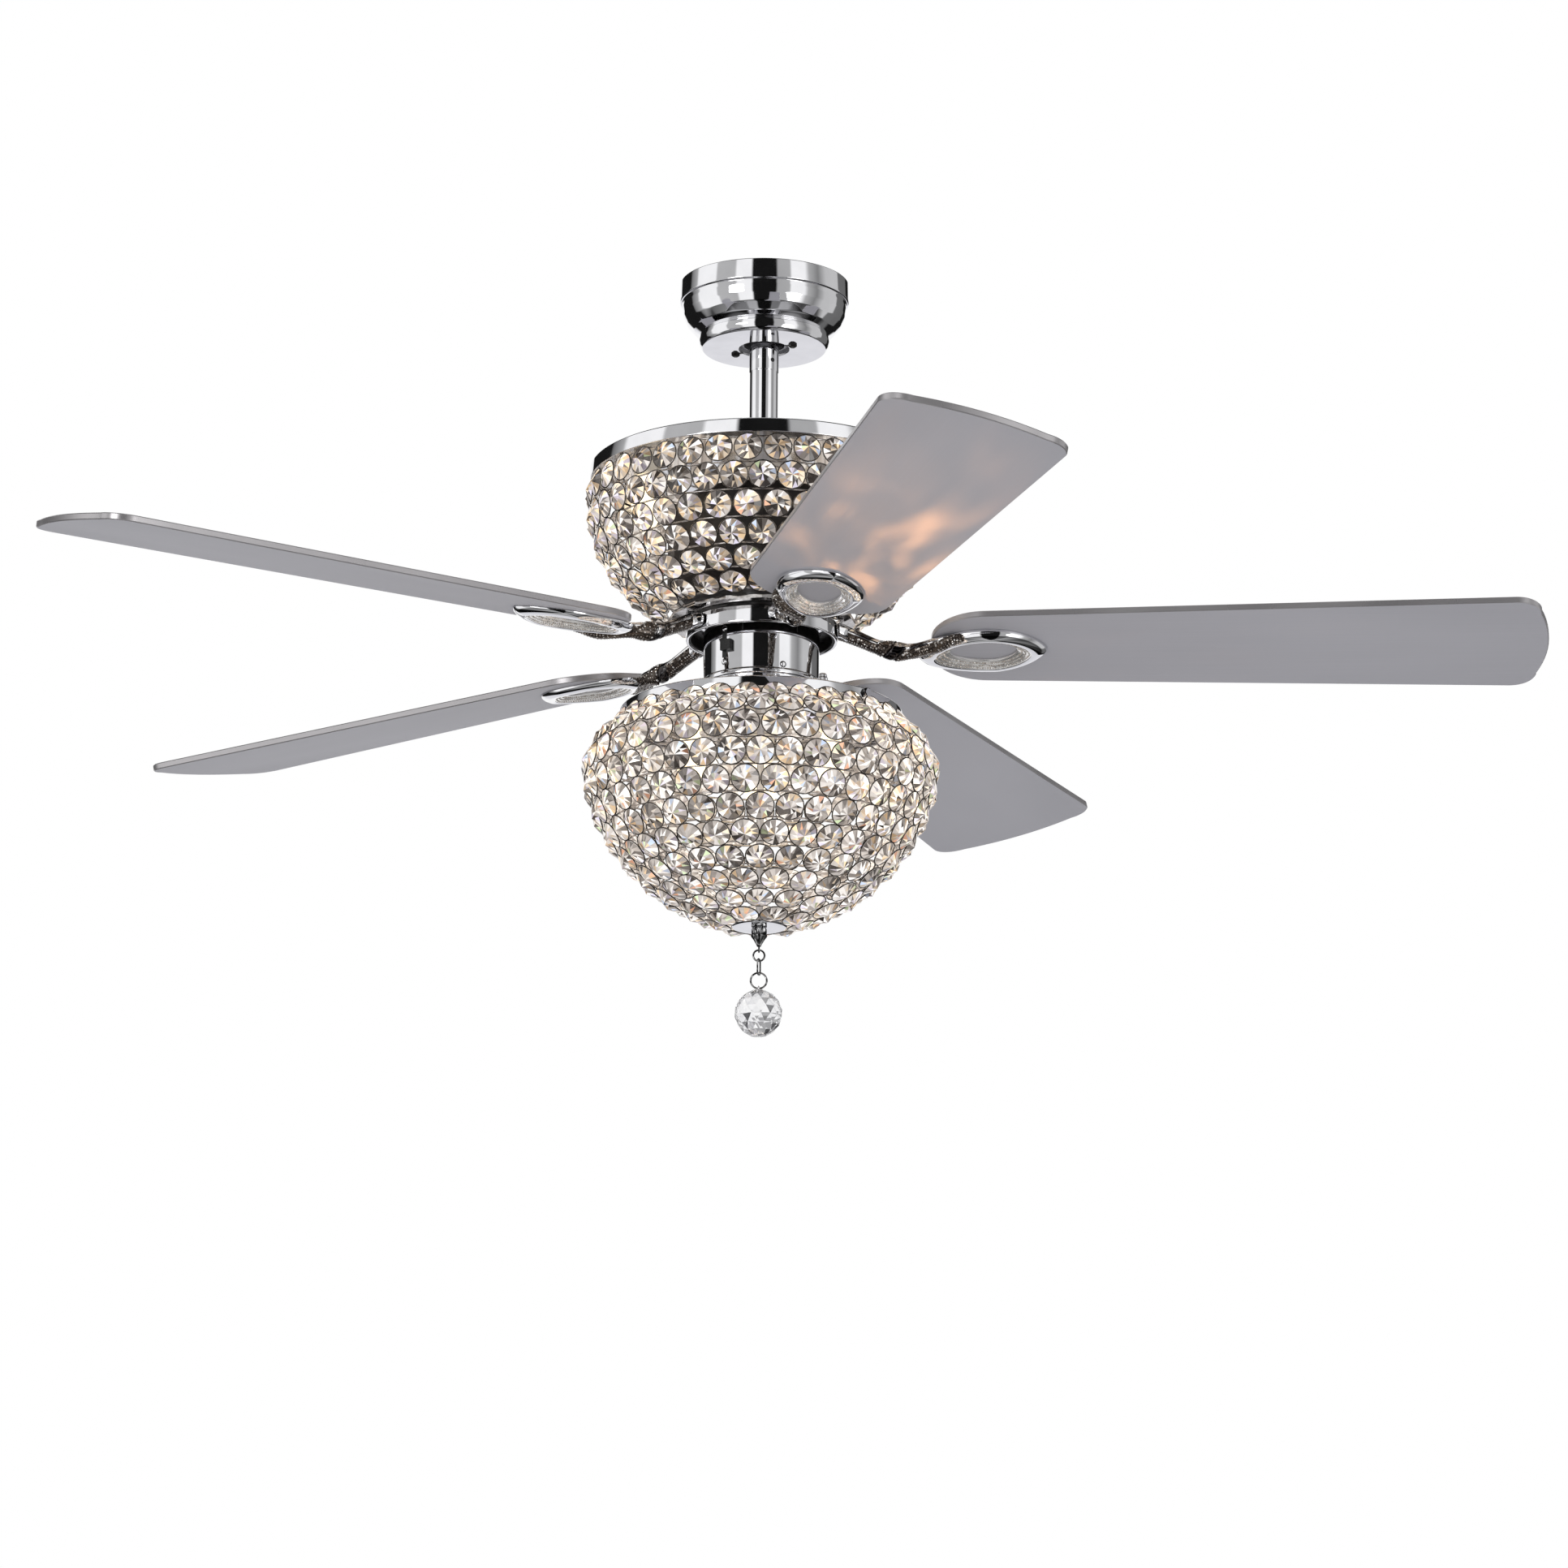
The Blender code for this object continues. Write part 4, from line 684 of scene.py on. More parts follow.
def facet_values(which, groups, place, dark):
    """For each facet its painted lightness, which stands for reflections, its painted hue of coloured fire
    and warm bulb light, and how much painted bulb glow it gives off.
    """
    near = min((place - light).length for light in bulb_places(which))
    upper = which == "upper"
    # Painted bulb glow, strongest on the crystals nearest a bulb
    painted_warmth = exp(-(near / 0.05) ** 2) if upper else exp(-(max(0.0, near - 0.074) / 0.02) ** 2)
    power = dark * random.uniform(0.72, 1.4)
    wedge = [random.random() ** power for i in range(CRYSTAL_SIDES)]
    if upper:
        wedge = [t * t * (3 - 2 * t) for t in wedge]
    tones, painted_fires, painted_glows = [], [], []
    for kind, i in groups:
        if kind == "wedge":
            tone = wedge[i]
        elif kind == "rim":
            tone = wedge[i] if random.random() < 0.35 else random.random() ** power
        else:
            tone = random.uniform(0.3, 1.0)
        tones.append(tone)
        shown = kind in ("wedge", "rim")
        painted_fires.append(random.random() if shown and tone > 0.25 else 0.0)
        painted_glows.append(painted_warmth * random.random() ** 1.5 if shown else 0.0)
    if upper:
        # Painted warm bulb light: many upper crystals take hues that are mostly warm
        painted_fires = [0.7 + 0.22 * tint if random.random() < 0.42 else tint for tint in painted_fires]
    return {"facet": tones, "tint": painted_fires, "glow": painted_glows}


def crystal_frame(station, angle):
    radius, z, slope = station
    turn = Matrix.Rotation(angle, 4, "Z")
    out = turn @ Vector((-slope.z, 0, slope.x))
    down = turn @ slope
    return axes(turn @ Vector((radius, 0, z)), out.cross(down), down, out)


def crystal_row(which, row, station, stones, wires):
    count = crystals_in(station[0], row)
    for i in range(count):
        about = crystal_frame(station, pi / 2 + 2 * pi * i / count)
        verts, faces, groups = cut_crystal(random.uniform(0, 0.5))
        centre = about.translation
        values = facet_values(which, groups, centre, painted_shade_of(which, row, centre.x))
        stones.add([about @ v for v in verts], faces, **values)
        wires.add(*torus(BEZEL_R, BEZEL_WIRE, about, 22, 5))


def basket(which, curve, rows):
    """A basket's crystals in bands of two rows, each crystal in its bezel, and the hoops behind them."""
    found = stations_on(curve, rows, 0.5, rows)
    if which == "lower":
        found[0] = TOP_ROW
    for band in range((rows + 1) // 2):
        stones, wires = Shape(), Shape()
        for row in range(2 * band, min(2 * band + 2, rows)):
            crystal_row(which, row, found[row], stones, wires)
        numbered = (which, band + 1)
        stone = stones.piece("%s_crystals_%d" % numbered, "crystal_cut", "hanging", "crystal", smooth=False,
                             node="%s_crystal_band_%d" % numbered)
        stone.visible_shadow = False
        wires.piece("%s_bezels_%d" % numbered, "bezel", angle=80.0)
    hoops = Shape()
    for radius, z, slope in stations_on(curve, rows, 0.0, rows + 1):
        place = Vector((radius, 0, z)) + Vector((slope.z, 0, -slope.x)) * HOOP_IN
        hoops.add(*torus(place.x, HOOP_WIRE, Matrix.Translation((0, 0, place.z)), 96, 6))
    hoops.piece(which + "_hoops", "wire", angle=80.0)


def baskets():
    basket("upper", basket_curve(0.146, -0.197, 0.1, 0.121, -0.1803, -0.298, 2.05), UPPER_ROWS)
    basket("lower", basket_curve(0.1461, -0.4315, 0.0767, 0.137, -0.3854, -0.5655, 1.793), LOWER_ROWS)


# Blades

BLADE_ROOT = 0.1434
BLADE_TIP = 0.66
ROOT_WIDTH = 0.118
TIP_WIDTH = 0.152
ROOT_CORNER = 0.048
TIP_CORNER = 0.022
TIP_BOW = 0.008
EDGE_ROUND = 0.0007


def blade_frame(index):
    return Matrix.Rotation(radians(BLADE_TURN + 72 * index), 4, "Z")


def on_blade(radius, side, up):
    """A place in the pitched blade's own directions, on the blade that lies along X."""
    tilt = radians(BLADE_PITCH)
    y = side * cos(tilt) + up * sin(tilt)
    z = BLADE_Z - side * sin(tilt) + up * cos(tilt)
    return Vector((radius, y, z))


def blade_outline(inset):
    """The blade's rim as (radius, side): round at the root, straight sides and a bowed tip."""
    root, tip = BLADE_ROOT + inset, BLADE_TIP - inset
    root_half, tip_half = (ROOT_WIDTH - 2 * inset) / 2, (TIP_WIDTH - 2 * inset) / 2
    root_c, tip_c = ROOT_CORNER - inset, TIP_CORNER - inset
    half = []
    for i in range(15):
        a = pi / 2 * i / 14
        half.append((root + root_c * (1 - cos(a)), root_half - root_c * (1 - sin(a))))
    r0, s0 = half[-1]
    r1, s1 = tip - TIP_BOW - tip_c, tip_half
    for i in range(1, 12):
        t = i / 12
        half.append((r0 + (r1 - r0) * t, s0 + (s1 - s0) * t))
    for i in range(13):
        a = pi / 2 * i / 12
        half.append((tip - TIP_BOW - tip_c * (1 - sin(a)), tip_half - tip_c * (1 - cos(a))))
    edge = tip_half - tip_c
    for i in range(1, 7):
        side = edge * (1 - i / 6)
        half.append((tip - TIP_BOW * (side / edge) ** 2, side))
    return half + [(r, -s) for r, s in reversed(half[:-1])]


def blade_mesh():
    """The blade along X, with the radius and side of each vertex, and a 1 for each face of its rim."""
    levels = [(EDGE_ROUND, -0.5), (0.0, -0.36), (0.0, 0.36), (EDGE_ROUND, 0.5)]
    verts, uv, faces, rim = [], [], [], []
    for inset, up in levels:
        outline = blade_outline(inset)
        count = len(outline)
        verts += [on_blade(radius, side, up * BLADE_T) for radius, side in outline]
        uv += outline
    for base in (0, 3 * count):
        for i in range(count // 2):
            ring = dict.fromkeys((i, i + 1, count - 2 - i, count - 1 - i))
            if len(ring) > 2:
                faces.append(tuple(base + k for k in ring))
                rim.append(0)
    sides = skin(len(levels), count)
    return verts, faces + sides, uv, rim + [1] * len(sides)


def blades():
    verts, faces, uv, rim = blade_mesh()
    for index in range(BLADES):
        about = blade_frame(index)
        piece("blade_panel_%d" % (index + 1), [about @ v for v in verts], faces, "blade_satin", "rotor",
              "satin_silver", uv=uv, edge=("blade_edge", rim), angle=30.0, node="blade_%d" % (index + 1))


# Blade irons

# Middle line of the two strands, from the flywheel to the leaf, as radius, side and height
ROPE_LINE = [
    (0.067, 0.0, -0.3104), (0.078, 0.0, -0.315), (0.0885, 0.0, -0.3197), (0.096, 0.0, -0.323),
    (0.106, 0.0, -0.3262), (0.117, -0.0005, -0.328), (0.128, -0.003, -0.3283), (0.139, -0.012, -0.3287),
    (0.15, -0.0215, -0.3282), (0.162, -0.0268, -0.3256), (0.178, -0.029, -0.3238)]
# Which way the polished strand faces, in degrees, by radius
ROPE_TURN = [
    (0.098, 100.0), (0.1035, 0.0), (0.1085, -90.0), (0.1135, -180.0), (0.121, -245.0), (0.133, -262.0),
    (0.154, -275.0), (0.166, -345.0), (0.178, -380.0)]
# Half the rope's width and half its height, by radius
ROPE_SIZE = [
    (0.067, 0.008, 0.007), (0.0885, 0.008, 0.006), (0.098, 0.008, 0.006), (0.108, 0.0082, 0.0082),
    (0.115, 0.008, 0.0085), (0.124, 0.0076, 0.0066), (0.133, 0.0074, 0.0062), (0.148, 0.0074, 0.0066),
    (0.16, 0.0066, 0.0048), (0.17, 0.0052, 0.004), (0.178, 0.0012, 0.0012)]
ROPE_BEAD_R = 0.00115
ROPE_BEAD_PITCH = 0.00185
# The leaf's two rims: middle, reach to the root and to the tip, half width, and skew of the root end
LEAF_OUTER = (0.1925, 0.0605, 0.048, 0.0362, 0.0075)
LEAF_INNER = (0.1905, 0.032, 0.025, 0.0178, 0.003)
LEAF_STEPS = 96
# Sections from the outer rim, 0, to the inner one, 1, and down from the blade
LEAF_POLISHED = [
    (0.0, 0.0), (0.0, -0.0016), (0.04, -0.004), (0.13, -0.0064), (0.26, -0.008), (0.38, -0.0086),
    (0.48, -0.0084), (0.52, -0.0078), (0.52, 0.0)]
LEAF_BEADED = [
    (0.52, 0.0), (0.52, -0.0074), (0.64, -0.0062), (0.78, -0.0044), (0.9, -0.0026), (0.95, -0.0022),
    (1.0, -0.0014), (1.0, 0.0)]
# Lanes of beads: place in the section, depth and pitch
LEAF_LANES = [(0.6, -0.0068, 0.0019), (0.72, -0.0054, 0.0018), (0.84, -0.0037, 0.0017)]
LEAF_BEAD_R = 0.00095
# The foot on the flywheel: radius, half width and half height
FOOT = [
    (0.0643, 0.0112, 0.0058), (0.0656, 0.0114, 0.0062), (0.0672, 0.0106, 0.0064), (0.069, 0.0094, 0.0066),
    (0.0712, 0.0084, 0.007), (0.073, 0.008, 0.0066)]
BLADE_SCREWS = [(0.1749, 0.0231), (0.1749, -0.0231), (0.2315, 0.0)]


def through(points, steps):
    """A smooth line through the points, as vectors."""
    found = []
    for k in range(len(points) - 1):
        p0, p1, p2, p3 = (Vector(points[min(max(k + j, 0), len(points) - 1)]) for j in (-1, 0, 1, 2))
        for i in range(steps):
            t = i / steps
            found.append(0.5 * (p1 * 2 + (p2 - p0) * t + (p0 * 2 - p1 * 5 + p2 * 4 - p3) * t * t
                                + (p1 * 3 - p0 - p2 * 3 + p3) * t ** 3))
    return found + [Vector(points[-1])]


def between(table, value, column=1):
    """A column of the table read at the value of its first column, in straight lines."""
    if value <= table[0][0]:
        return table[0][column]
    for first, second in zip(table, table[1:]):
        if value <= second[0]:
            rise, run = second[column] - first[column], second[0] - first[0]
            return first[column] + rise * (value - first[0]) / run
    return table[-1][column]


def bead(centre, radius, up):
    """A small cut bead for the sparkling strip."""
    side = up.orthogonal().normalized()
    other = up.cross(side)
    turn = random.uniform(0, 1.0)
    verts = [centre - up * radius]
    for i in range(6):
        a = 2 * pi * i / 6 + turn
        verts.append(centre + (side * cos(a) + other * sin(a)) * radius)
    verts.append(centre + up * radius * 0.6)
    faces = []
    for i in range(6):
        j = (i + 1) % 6
        faces += [(0, 1 + j, 1 + i), (1 + i, 1 + j, 7)]
    return verts, faces


def painted_glints(least):
    """A painted glint for each of a bead's twelve faces, as a lightness."""
    own = random.random() ** 1.6
    return [least + (1 - least) * min(1.0, max(0.0, own + random.uniform(-0.3, 0.3))) for face in range(12)]


class Rope:
    """The line that the two strands wrap round, and the two directions across it at each station."""

    def __init__(self):
        self.line = through(ROPE_LINE, 16)
        self.acrosses, self.ups = [], []
        last = len(self.line) - 1
        for i in range(last + 1):
            ahead = (self.line[min(i + 1, last)] - self.line[max(i - 1, 0)]).normalized()
            across = Vector((0, 0, 1)).cross(ahead).normalized()
            self.acrosses.append(across)
            self.ups.append(ahead.cross(across).normalized())

    def spot(self, i, degrees, reach):
        a = radians(degrees)
        x = self.line[i].x
        return (cos(a) * between(ROPE_SIZE, x) * reach, sin(a) * between(ROPE_SIZE, x, 2) * reach)

    def turn(self, i):
        return between(ROPE_TURN, self.line[i].x)

    def strand(self, shape, first, half, steps=18):
        """One strand: its share of the rope's section, half degrees to each side of first."""
        def section(i):
            middle = self.turn(i) + first
            found = []
            for k in range(steps + 1):
                share = 2 * k / steps - 1
                found.append(self.spot(i, middle + share * half, 1.0 - 0.2 * abs(share) ** 5))
            found.append(self.spot(i, middle + half, 0.3))
            found.append(self.spot(i, middle - half, 0.3))
            return found

        verts, faces = sweep(self.line, self.acrosses, self.ups, section)
        # Painted shade: the pave strip along the rope reads this as a dark lightness, 0.1
        shape.add(verts, faces, facet=0.1)

    def beads(self, shape):
        run = 0.0
        for i in range(3, len(self.line) - 3):
            run += (self.line[i] - self.line[i - 1]).length
            if run < ROPE_BEAD_PITCH:
                continue
            run = 0.0
            middle = self.turn(i) + 180
            for lane in range(-4, 5):
                wide, tall = self.spot(i, middle + lane * 20.0, 0.955)
                out = self.acrosses[i] * wide + self.ups[i] * tall
                shape.add(*bead(self.line[i] + out, ROPE_BEAD_R, out.normalized()), facet=painted_glints(0.0))


def leaf_rim(middle, root_reach, tip_reach, half, skew):
    rim = []
    for i in range(LEAF_STEPS):
        a = 2 * pi * i / LEAF_STEPS
        root = max(0.0, -cos(a))
        bulge = abs(sin(a)) ** (1.3 if cos(a) > 0 else 1.12)
        reach = root_reach if root else tip_reach
        side = copysign(half * bulge, sin(a)) + skew * root ** 2
        rim.append(Vector((middle + reach * cos(a), side, 0)))
    return rim


def leaf_place(spot, deep):
    """Under the blade; the leaf is shallower on its trailing side and towards its tip."""
    side = 0.32 * min(1.0, max(0.0, spot.y / 0.03))
    tip = 0.3 * min(1.0, max(0.0, (spot.x - 0.2) / 0.04))
    return on_blade(spot.x, spot.y, deep * (1.0 - side - tip) - (BLADE_T / 2 + GAP))


def leaf(rims, strips, beads):
    """The open leaf under the blade: a ring, polished outside and set with beads inside."""
    count = LEAF_STEPS
    outer, inner = leaf_rim(*LEAF_OUTER), leaf_rim(*LEAF_INNER)
    for shape, section in ((rims, LEAF_POLISHED), (strips, LEAF_BEADED)):
        verts = []
        for a, b in zip(outer, inner):
            verts += [leaf_place(a + (b - a) * share, deep) for share, deep in section]
        # The leaf's pave strip gets a light painted lightness, 0.88, and its beads lighter painted glints
        # than the rope's
        shape.add(verts, skin(count, len(section), True), facet=0.88)
    down = on_blade(0, 0, 0) - on_blade(0, 0, 1)
    for share, deep, pitch in LEAF_LANES:
        run, last = 1.0, None
        for i in range(count * 4):
            k, t = divmod(i / 4, 1)
            k = int(k)
            a = outer[k].lerp(outer[(k + 1) % count], t)
            b = inner[k].lerp(inner[(k + 1) % count], t)
            place = leaf_place(a + (b - a) * share, deep)
            run = run + (place - last).length if i else 1.0
            last = place
            if run >= pitch:
                beads.add(*bead(place, LEAF_BEAD_R, down), facet=painted_glints(0.62))
                run = 0.0


def iron_foot(rims):
    """The flared foot on the flywheel's side and the three screws."""
    stations = [Vector((radius, 0, -0.3104 - 0.42 * max(0.0, radius - 0.067))) for radius, wide, tall in FOOT]
    section = []
    for k in range(24):
        a = radians(15 * k)
        section.append((copysign(abs(cos(a)) ** 0.5, cos(a)),
                        copysign(abs(sin(a)) ** 0.7, sin(a))))
    rims.add(*sweep(stations, [Vector((0, 1, 0))] * len(FOOT), [Vector((0, 0, 1))] * len(FOOT),
                    lambda i: [(w * FOOT[i][1], d * FOOT[i][2]) for w, d in section]))
    for radius, side in BLADE_SCREWS:
        tilt = Matrix.Rotation(-radians(BLADE_PITCH), 4, "X")
        about = Matrix.Translation(on_blade(radius, side, 0)) @ tilt
        top = BLADE_T / 2 + GAP
        head = [(0, -0.0045), (0.0021, -0.0045), (0.0021, top), (0.0043, top), (0.0043, top + 0.0008),
                (0.003, top + 0.0017), (0, top + 0.002)]
        rims.add(*lathe(rounded(head, 0.0003, 2), 16, about))


def irons():
    rims, strips, beads, strands = Shape(), Shape(), Shape(), Shape()
    rope = Rope()
    rope.strand(strands, 0, 82)
    rope.strand(strips, 180, 98)
    rope.beads(beads)
    leaf(rims, strips, beads)
    iron_foot(rims)
    kinds = (("rim", rims, "chrome"), ("strand", strands, "chrome_painted_reflections"), ("strip", strips, "pave"),
             ("beads", beads, "pave"))
    for index in range(BLADES):
        about = blade_frame(index)
        for kind, shape, mat in kinds:
            rim = kind == "rim"
            piece("iron_%s_%d" % (kind, index + 1), [about @ v for v in shape.verts], shape.faces, mat,
                  "rotor", "chrome", smooth=kind != "beads", angle=40.0,
                  floats=None if rim else shape.floats, node="blade_iron_%d" % (index + 1) if rim else None)


# Turned metal pieces, as profiles of (radius, z)

def canopy():
    low, top = -0.059, -0.0015
    outside = [
        (0.072, top), (0.072, -0.018), (0.0712, -0.0186), (0.07, -0.019), (0.07, -0.023),
        (0.0688, -0.03), (0.0655, -0.037), (0.06, -0.043), (0.0535, -0.0472), (0.054, -0.0484),
        (0.0555, -0.049), (0.0556, -0.053), (0.0545, -0.0565), (0.0525, low), (0.0215, low)]
    inside = [
        (0.0215, low + 0.0012), (0.0515, low + 0.0012), (0.052, -0.0475), (0.059, -0.0415),
        (0.064, -0.036), (0.068, -0.025), (0.0705, -0.017), (0.0706, top)]
    turning("canopy_shell", outside + inside, 0.0009, "canopy", 128, "root")


def downrod():
    top, low, bore = -0.01, PLATE_TOP + 0.0051, 0.0105
    tube = [(DOWNROD_R, top), (DOWNROD_R, -0.0798), (0.012, -0.0804), (0.012, low), (bore, low), (bore, top)]
    turning("downrod_tube", tube, 0.0003, "downrod", 64)


def flanged_plate(name, node, top, radius, bore, drop):
    """A thin round plate with its rim turned down."""
    edge, under = top - drop, top - SHEET
    profile = [
        (bore, top), (radius - 0.001, top), (radius, top - 0.001), (radius, edge), (radius - SHEET, edge),
        (radius - SHEET, under), (bore, under)]
    turning(name, profile, 0.0005, node, 160)


def flywheel():
    """The chrome cup under the upper basket, and a dark sheet inside it as painted shade."""
    hub, wall, top, low = 0.009, 0.061, -0.3036, -0.3176
    wheel = [
        (hub, -0.2883), (0.03, -0.2883), (0.03, top), (0.0632, top), (0.064, -0.3044), (0.064, low),
        (0.0636, -0.3186), (0.0628, -0.319), (0.0616, -0.3186), (wall, low), (wall, -0.3081), (hub, -0.3081)]
    turning("flywheel_disc", wheel, 0.0006, "flywheel", 128, "rotor")
    painted_shade_sheet = [
        (0.051, -0.3082), (0.0608, -0.3082), (0.0608, -0.3172), (0.06, low), (0.0596, -0.3172),
        (0.0596, -0.3092), (0.051, -0.3092)]
    turning("flywheel_painted_shade", painted_shade_sheet, 0.0003, None, 128, "rotor", "enamel_and_painted_shade", "dark_metal")


def switch_can():
    """The housing between the blades and the lower bowl, with the bead round it."""
    low, top, bore, bead_r = KIT_TOP + GAP, -0.3105, 0.0078, 0.0502
    inner = HOUSING_R - SHEET
    can = [
        (bore, top), (0.0478, top), (HOUSING_R, -0.3117), (HOUSING_R, -0.3538), (bead_r, -0.355),
        (bead_r, -0.3578), (HOUSING_R, -0.359), (HOUSING_R, low), (inner, low), (inner, -0.312),
        (bore, -0.312)]
    turning("switch_can", can, 0.0006, "switch_housing", 128)


def bowl_end():
    """The plate that closes the lower bowl, and the ribbed foot under it with the eye for the pull."""
    low = END_TOP - 0.0025
    plate = [(0.0033, END_TOP), (0.0236, END_TOP), (0.0236, END_TOP - 0.0012), (0.022, low), (0.0033, low)]
    turning("end_plate", plate, 0.0006, "bottom_plate", 72)
    top = low - GAP
    cone = top - 0.0062
    foot = [
        (0, top - 0.0028), (0.0033, top - 0.0028), (0.0033, top), (0.0058, top), (0.0062, top - 0.0006),
        (0.0062, cone + 0.0012), (0.007, cone), (0.0066, cone - 0.0012), (0.0048, cone - 0.0035),
        (0.0024, cone - 0.0075), (0.0016, cone - 0.0095), (0, cone - 0.0097)]
    shape = Shape()
    shape.add(*lathe(rounded(foot, 0.0004), 72, wave=finial_ribs))
    shape.add(*torus(0.0022, 0.0007, Matrix.Translation((0, 0, cone - 0.0119)) @ upright(90), 28, 8))
    shape.piece("finial_turned", "chrome_painted_dark_reflections", node="finial")


def finial_ribs(angle, place):
    """Shallow ribs on the stretch of the profile between its shoulder and its waist."""
    return 1 + (0.035 * cos(18 * angle) if 8 < place < 22 else 0)


def thumb_nut():
    low = KIT_TOP + GAP
    profile = [
        (0, low), (0.004, low), (0.004, low + 0.008), (0.0034, low + 0.009), (0.0034, low + 0.0108),
        (0.0024, low + 0.0122), (0, low + 0.0122)]
    turning("thumb_nut_knurled", profile, 0.0005, "thumb_nut", 48, about=moved(*THUMB_NUT_AT),
            wave=lambda a, k: 1 + 0.06 * cos(12 * a))


def metals():
    canopy()
    downrod()
    flanged_plate("top_cover", "top_plate", PLATE_TOP, PLATE_R, 0.0078, 0.012)
    flywheel()
    switch_can()
    flanged_plate("light_kit_pan", "light_kit_plate", KIT_TOP, KIT_R, 0.0033, 0.0094)
    bowl_end()


# Bulbs, pull chain and crystal ball

def bulbs():
    profile = [
        (0, 0.0), (0.0065, 0.0), (0.0068, 0.06), (0.0092, 0.16), (0.0122, 0.3), (0.0135, 0.44),
        (0.0128, 0.58), (0.01, 0.74), (0.0062, 0.88), (0.0026, 0.97), (0, 1.0)]
    for which, (radius, top) in BULBS.items():
        start = top - HOLDER_H - GAP
        outline = rounded([(r, start - BULB_H * share) for r, share in profile], 0.003)
        for i in range(3):
            verts, faces = lathe(outline, 32, moved(90 + 120 * i, radius))
            numbered = (which, i + 1)
            obj = piece("%s_flame_%d" % numbered, verts, faces, "lit_bulb", "hanging", "bulb_glass",
                        angle=60.0, node="%s_bulb_%d" % numbered)
            obj.visible_shadow = False


def chain():
    for name, node, radius, wire, z, turn, half in (
            ("ring_small", "chain_ring_1", 0.0047, 0.0008, RING_1_Z, 0, 0.0),
            ("link_long", "chain_link", 0.0024, 0.0007, LINK_Z, 62, 0.0044),
            ("ring_large", "chain_ring_2", 0.0067, 0.0008, RING_2_Z, 0, 0.0)):
        shape = Shape()
        shape.add(*torus(radius, wire, Matrix.Translation((0, 0, z)) @ upright(turn), 40, 10, half))
        shape.piece(name, "chrome_painted_dark_reflections", node, "chrome", angle=60.0, node=node)


def ball_mesh(rows, sides):
    """A ball of triangles about the pull's middle; each row of corners is half a side on from the last."""
    pole = PULL_R * 0.97
    verts, faces = [Vector((0, 0, PULL_Z + pole))], []
    for k in range(1, rows):
        a = pi * k / rows
        for i in range(sides):
            b = 2 * pi * (i + 0.5 * (k % 2)) / sides
            verts.append(polar(PULL_R * sin(a), b, PULL_Z + PULL_R * cos(a)))
    verts.append(Vector((0, 0, PULL_Z - pole)))
    last = len(verts) - 1
    for i in range(sides):
        j = (i + 1) % sides
        faces.append((0, 1 + i, 1 + j))
        faces.append((last, last - sides + j, last - sides + i))
    for k in range(rows - 2):
        for i in range(sides):
            a, b = 1 + k * sides, 1 + (k + 1) * sides
            j = (i + 1) % sides
            if k % 2:
                faces += [(a + i, a + j, b + i), (a + j, b + j, b + i)]
            else:
                faces += [(a + i, b + j, b + i), (a + i, a + j, b + j)]
    return verts, faces


def pull_ball():
    verts, faces = ball_mesh(9, 15)
    tones = []
    for face in faces:
        height = sum(verts[i].z - PULL_Z for i in face) / len(face) / PULL_R
        # Painted reflections: each facet dark or light, with more dark ones at the top and bottom of the ball
        painted_dark_share = 0.45 if height > 0.62 else 0.35 if height < -0.72 else 0.1
        tones.append(random.uniform(0.0, 0.2) if random.random() < painted_dark_share else random.uniform(0.5, 1.0))
    shape = Shape()
    shape.add(verts, faces, facet=tones)
    ball = shape.piece("pull_ball", "crystal_clear", "crystal_pull", "crystal", smooth=False,
                       node="crystal_ball")
    ball.visible_shadow = False
    heights = [(0, 0.9), (0.0034, 0.9), (0.003, 1.02), (0.0018, 1.05), (0, 1.05)]
    neck = [(r, PULL_Z + PULL_R * share) for r, share in heights]
    collar = Shape()
    collar.add(*lathe(rounded(neck, 0.0004), 24))
    eye = Matrix.Translation((0, 0, PULL_Z + PULL_EYE)) @ upright(90)
    collar.add(*torus(0.002, 0.0006, eye, 24, 8))
    collar.piece("pull_cap", "chrome", "crystal_pull")


# Screws, and dark plates of painted shade for slots and holes

SWITCH_AT = -129.1
HOUSING_SCREWS = [(SWITCH_AT, -0.3179), (SWITCH_AT, -0.3468), (-68.2, -0.3506)]
SLITS = [-108.8, -52.4, 127.6, 71.2]
PAN_SCREW_AT = -43.0
ROD_HOLE_AT = (-54.0, -0.0715)
THUMB_NUT_AT = (302.5, 0.095)
KEYHOLES = [-28.0, 152.0]
KEYHOLE_PLACE = 0.0275
KEYHOLE_R = 0.0036
KEYHOLE_NECK = (0.0205, 0.0017)


def round_head(degrees, z, radius, high):
    """A screw's head on the switch housing, or the dark ring of painted shade round it."""
    profile = [(0, -0.0012), (radius, -0.0012), (radius, high * 0.3), (radius * 0.7, high * 0.85), (0, high)]
    return lathe(rounded(profile, radius * 0.2, 3), 20, on_round(degrees, HOUSING_R, z))


def curved_plate(degrees, low, high, width, thick):
    """A thin plate that lies on the switch housing: width along the round, low and high in z."""
    half = width / HOUSING_R / 2
    outs = [polar(1.0, radians(degrees) + half * share) for share in (-1, -0.6, -0.2, 0.2, 0.6, 1)]
    section = [(-0.0006, low), (thick, low), (thick, high), (-0.0006, high)]
    return sweep([out * HOUSING_R for out in outs], outs, [Vector((0, 0, 1))] * 6, lambda i: section)


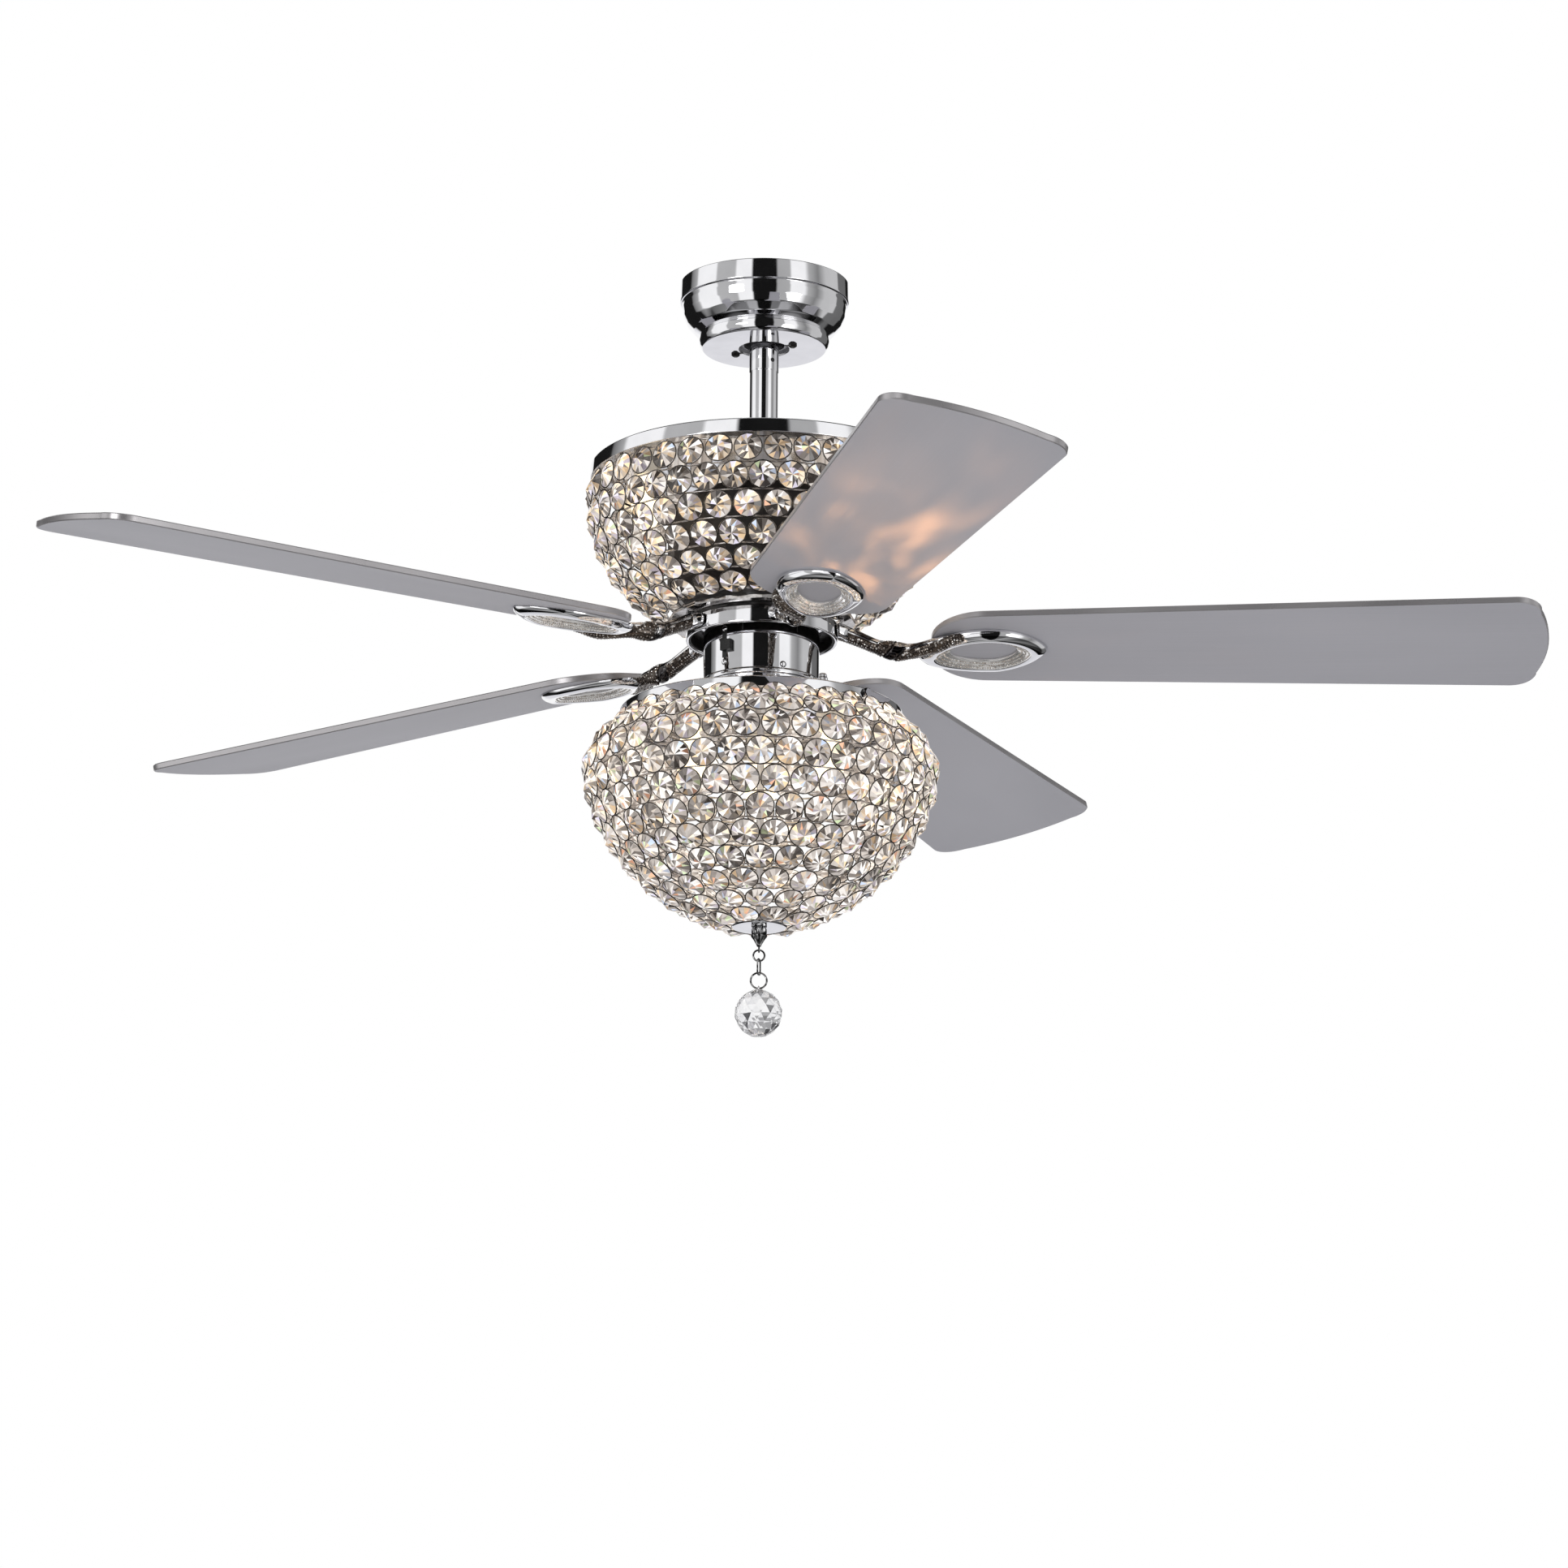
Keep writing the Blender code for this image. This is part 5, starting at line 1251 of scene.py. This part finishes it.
def fittings():
    """Screws, the switch's slot, the slits under the flywheel and the hex screw on the pan; the slits and the
    rings round the screws are dark plates of painted shade, and the slot a dark plate for the black switch
    and the shade in its opening.
    """
    screws, dark = Shape(), Shape()
    for degrees, z in HOUSING_SCREWS:
        screws.add(*round_head(degrees, z, 0.0024, 0.0014))
        dark.add(*round_head(degrees, z, 0.003, 0.0003))
    for degrees in SLITS:
        dark.add(*curved_plate(degrees, -0.3208, -0.3152, 0.0009, 0.00012))
    dark.add(*curved_plate(SWITCH_AT, -0.343, -0.3215, 0.0046, 0.0002))
    about = on_round(PAN_SCREW_AT, KIT_R - 0.0001, KIT_TOP - 0.0044)
    head = [(0, -0.0006), (0.0044, -0.0006), (0.0044, 0.0028), (0.0038, 0.0034), (0, 0.0034)]
    screws.add(*lathe(head, 6, about))
    screws.piece("housing_screws", "chrome", angle=30.0)
    dark.piece("housing_slots_painted_shade", "black_and_painted_shade", "hanging", "dark_metal", angle=30.0)


def keyholes():
    """The two dark keyholes of the canopy's floor, each joined to the middle hole: thin dark plates, painted
    shade of the holes.
    """
    round_end = [polar(KEYHOLE_R, radians(-150 + 300 * k / 18)) for k in range(19)]
    reach, half = KEYHOLE_NECK
    outline = [(KEYHOLE_PLACE + p.x, p.y) for p in round_end] + [(reach, half), (reach, -half)]
    levels = [Vector((0, 0, z)) for z in (-0.0592, -0.0586)]
    shape = Shape()
    for degrees in KEYHOLES:
        out, side = polar(1.0, radians(degrees)), polar(1.0, radians(degrees + 90))
        shape.add(*sweep(levels, [out] * 2, [side] * 2, lambda i: outline))
    shape.piece("canopy_keyholes_painted_shade", "black_and_painted_shade", "root", "dark_metal", angle=30.0)


# A dark disc on the downrod where its hole is: painted shade
def downrod_hole_painted_shade():
    degrees, z = ROD_HOLE_AT
    about = on_round(degrees, DOWNROD_R, z)
    hole = Shape()
    hole.add(*lathe([(0, -0.001), (0.0019, -0.001), (0.0019, 0.0001), (0, 0.0001)], 16, about))
    hole.piece("downrod_hole_painted_shade", "black_and_painted_shade", "hanging", "dark_metal", angle=30.0)


# Light from the lower bowl

BOWL_LAMP = ((0.004, -0.036, -0.445), 7.5, 0.006, (1.0, 0.46, 0.17))
BOWL_LAMP_TURN = 7
DAPPLE = [(0.4, 0.1), (0.52, 0.45), (0.66, 1.6)]
BY_HEIGHT = [(0.17, 0.0), (0.22, 0.4), (0.28, 1.0), (0.36, 0.55), (0.48, 0.22), (0.7, 0.05)]
BY_FRONT = [(0.0, 0.05), (0.45, 0.15), (0.75, 1.0)]
BY_SIDE = [(0.44, 0.1), (0.58, 0.35), (0.7, 1.0)]


def bowl_light():
    """Light that leaves the lower bowl between its crystals and dapples the blades above."""
    obj = lamp("bowl_leak", "POINT", *BOWL_LAMP)
    obj.rotation_quaternion = Matrix.Rotation(radians(BOWL_LAMP_TURN), 3, "Z").to_quaternion()
    obj.data.use_nodes = True
    tree = obj.data.node_tree
    dapple = ramp(tree, noise(tree, 9.0, 3.0, "Normal", distortion=1.2), DAPPLE)
    x, y, z = directions(tree, "Normal")
    height = ramp(tree, maths(tree, "ABSOLUTE", z), BY_HEIGHT)
    front = ramp(tree, maths(tree, "MULTIPLY", y, -1.0), BY_FRONT)
    side = ramp(tree, maths(tree, "ADD", x, 0.5), BY_SIDE)
    reach = times(tree, height, times(tree, front, side))
    link(tree, times(tree, dapple, reach), tree.nodes["Emission"].inputs["Strength"])
    lit = bpy.data.collections.new("lit_by_bowl")
    for index in range(BLADES):
        lit.objects.link(bpy.data.objects["blade_panel_%d" % (index + 1)])
    obj.light_linking.receiver_collection = lit


# Finishes of the solids that stay visible

CAD_FINISH = {
    "plain_steel": "ceiling_bracket hanger_pin yoke_pin motor_shaft tie_rod",
    # The canopy screws get the near-black enamel as painted shade; the motor's parts have it as their own
    # colour
    "enamel_and_painted_shade": "canopy_screw_1 canopy_screw_2 motor_yoke stator rotor_cap_top rotor_cap_bottom",
    "black_and_painted_shade": "hanger_ball reverse_switch",
    "wire": "upper_basket_frame lower_basket_frame",
    "holder_sleeve": " ".join("%s_lamp_holder_%d" % (which, i) for which in BULBS for i in (1, 2, 3))}


def dress_cad():
    for finish, names in CAD_FINISH.items():
        for name in names.split():
            for slot in frame["nodes"][name].material_slots:
                slot.material = MATERIALS[finish]


def materials():
    metal_finishes()
    plain_finishes()
    blade_satin()
    blade_edge()
    stone_finishes()
    lit_bulb()


camera()
world()
floor()
lamps()
materials()
metals()
baskets()
blades()
irons()
bulbs()
chain()
pull_ball()
thumb_nut()
fittings()
keyholes()
downrod_hole_painted_shade()
bowl_light()
dress_cad()
SCENE.view_settings.view_transform = "Standard"
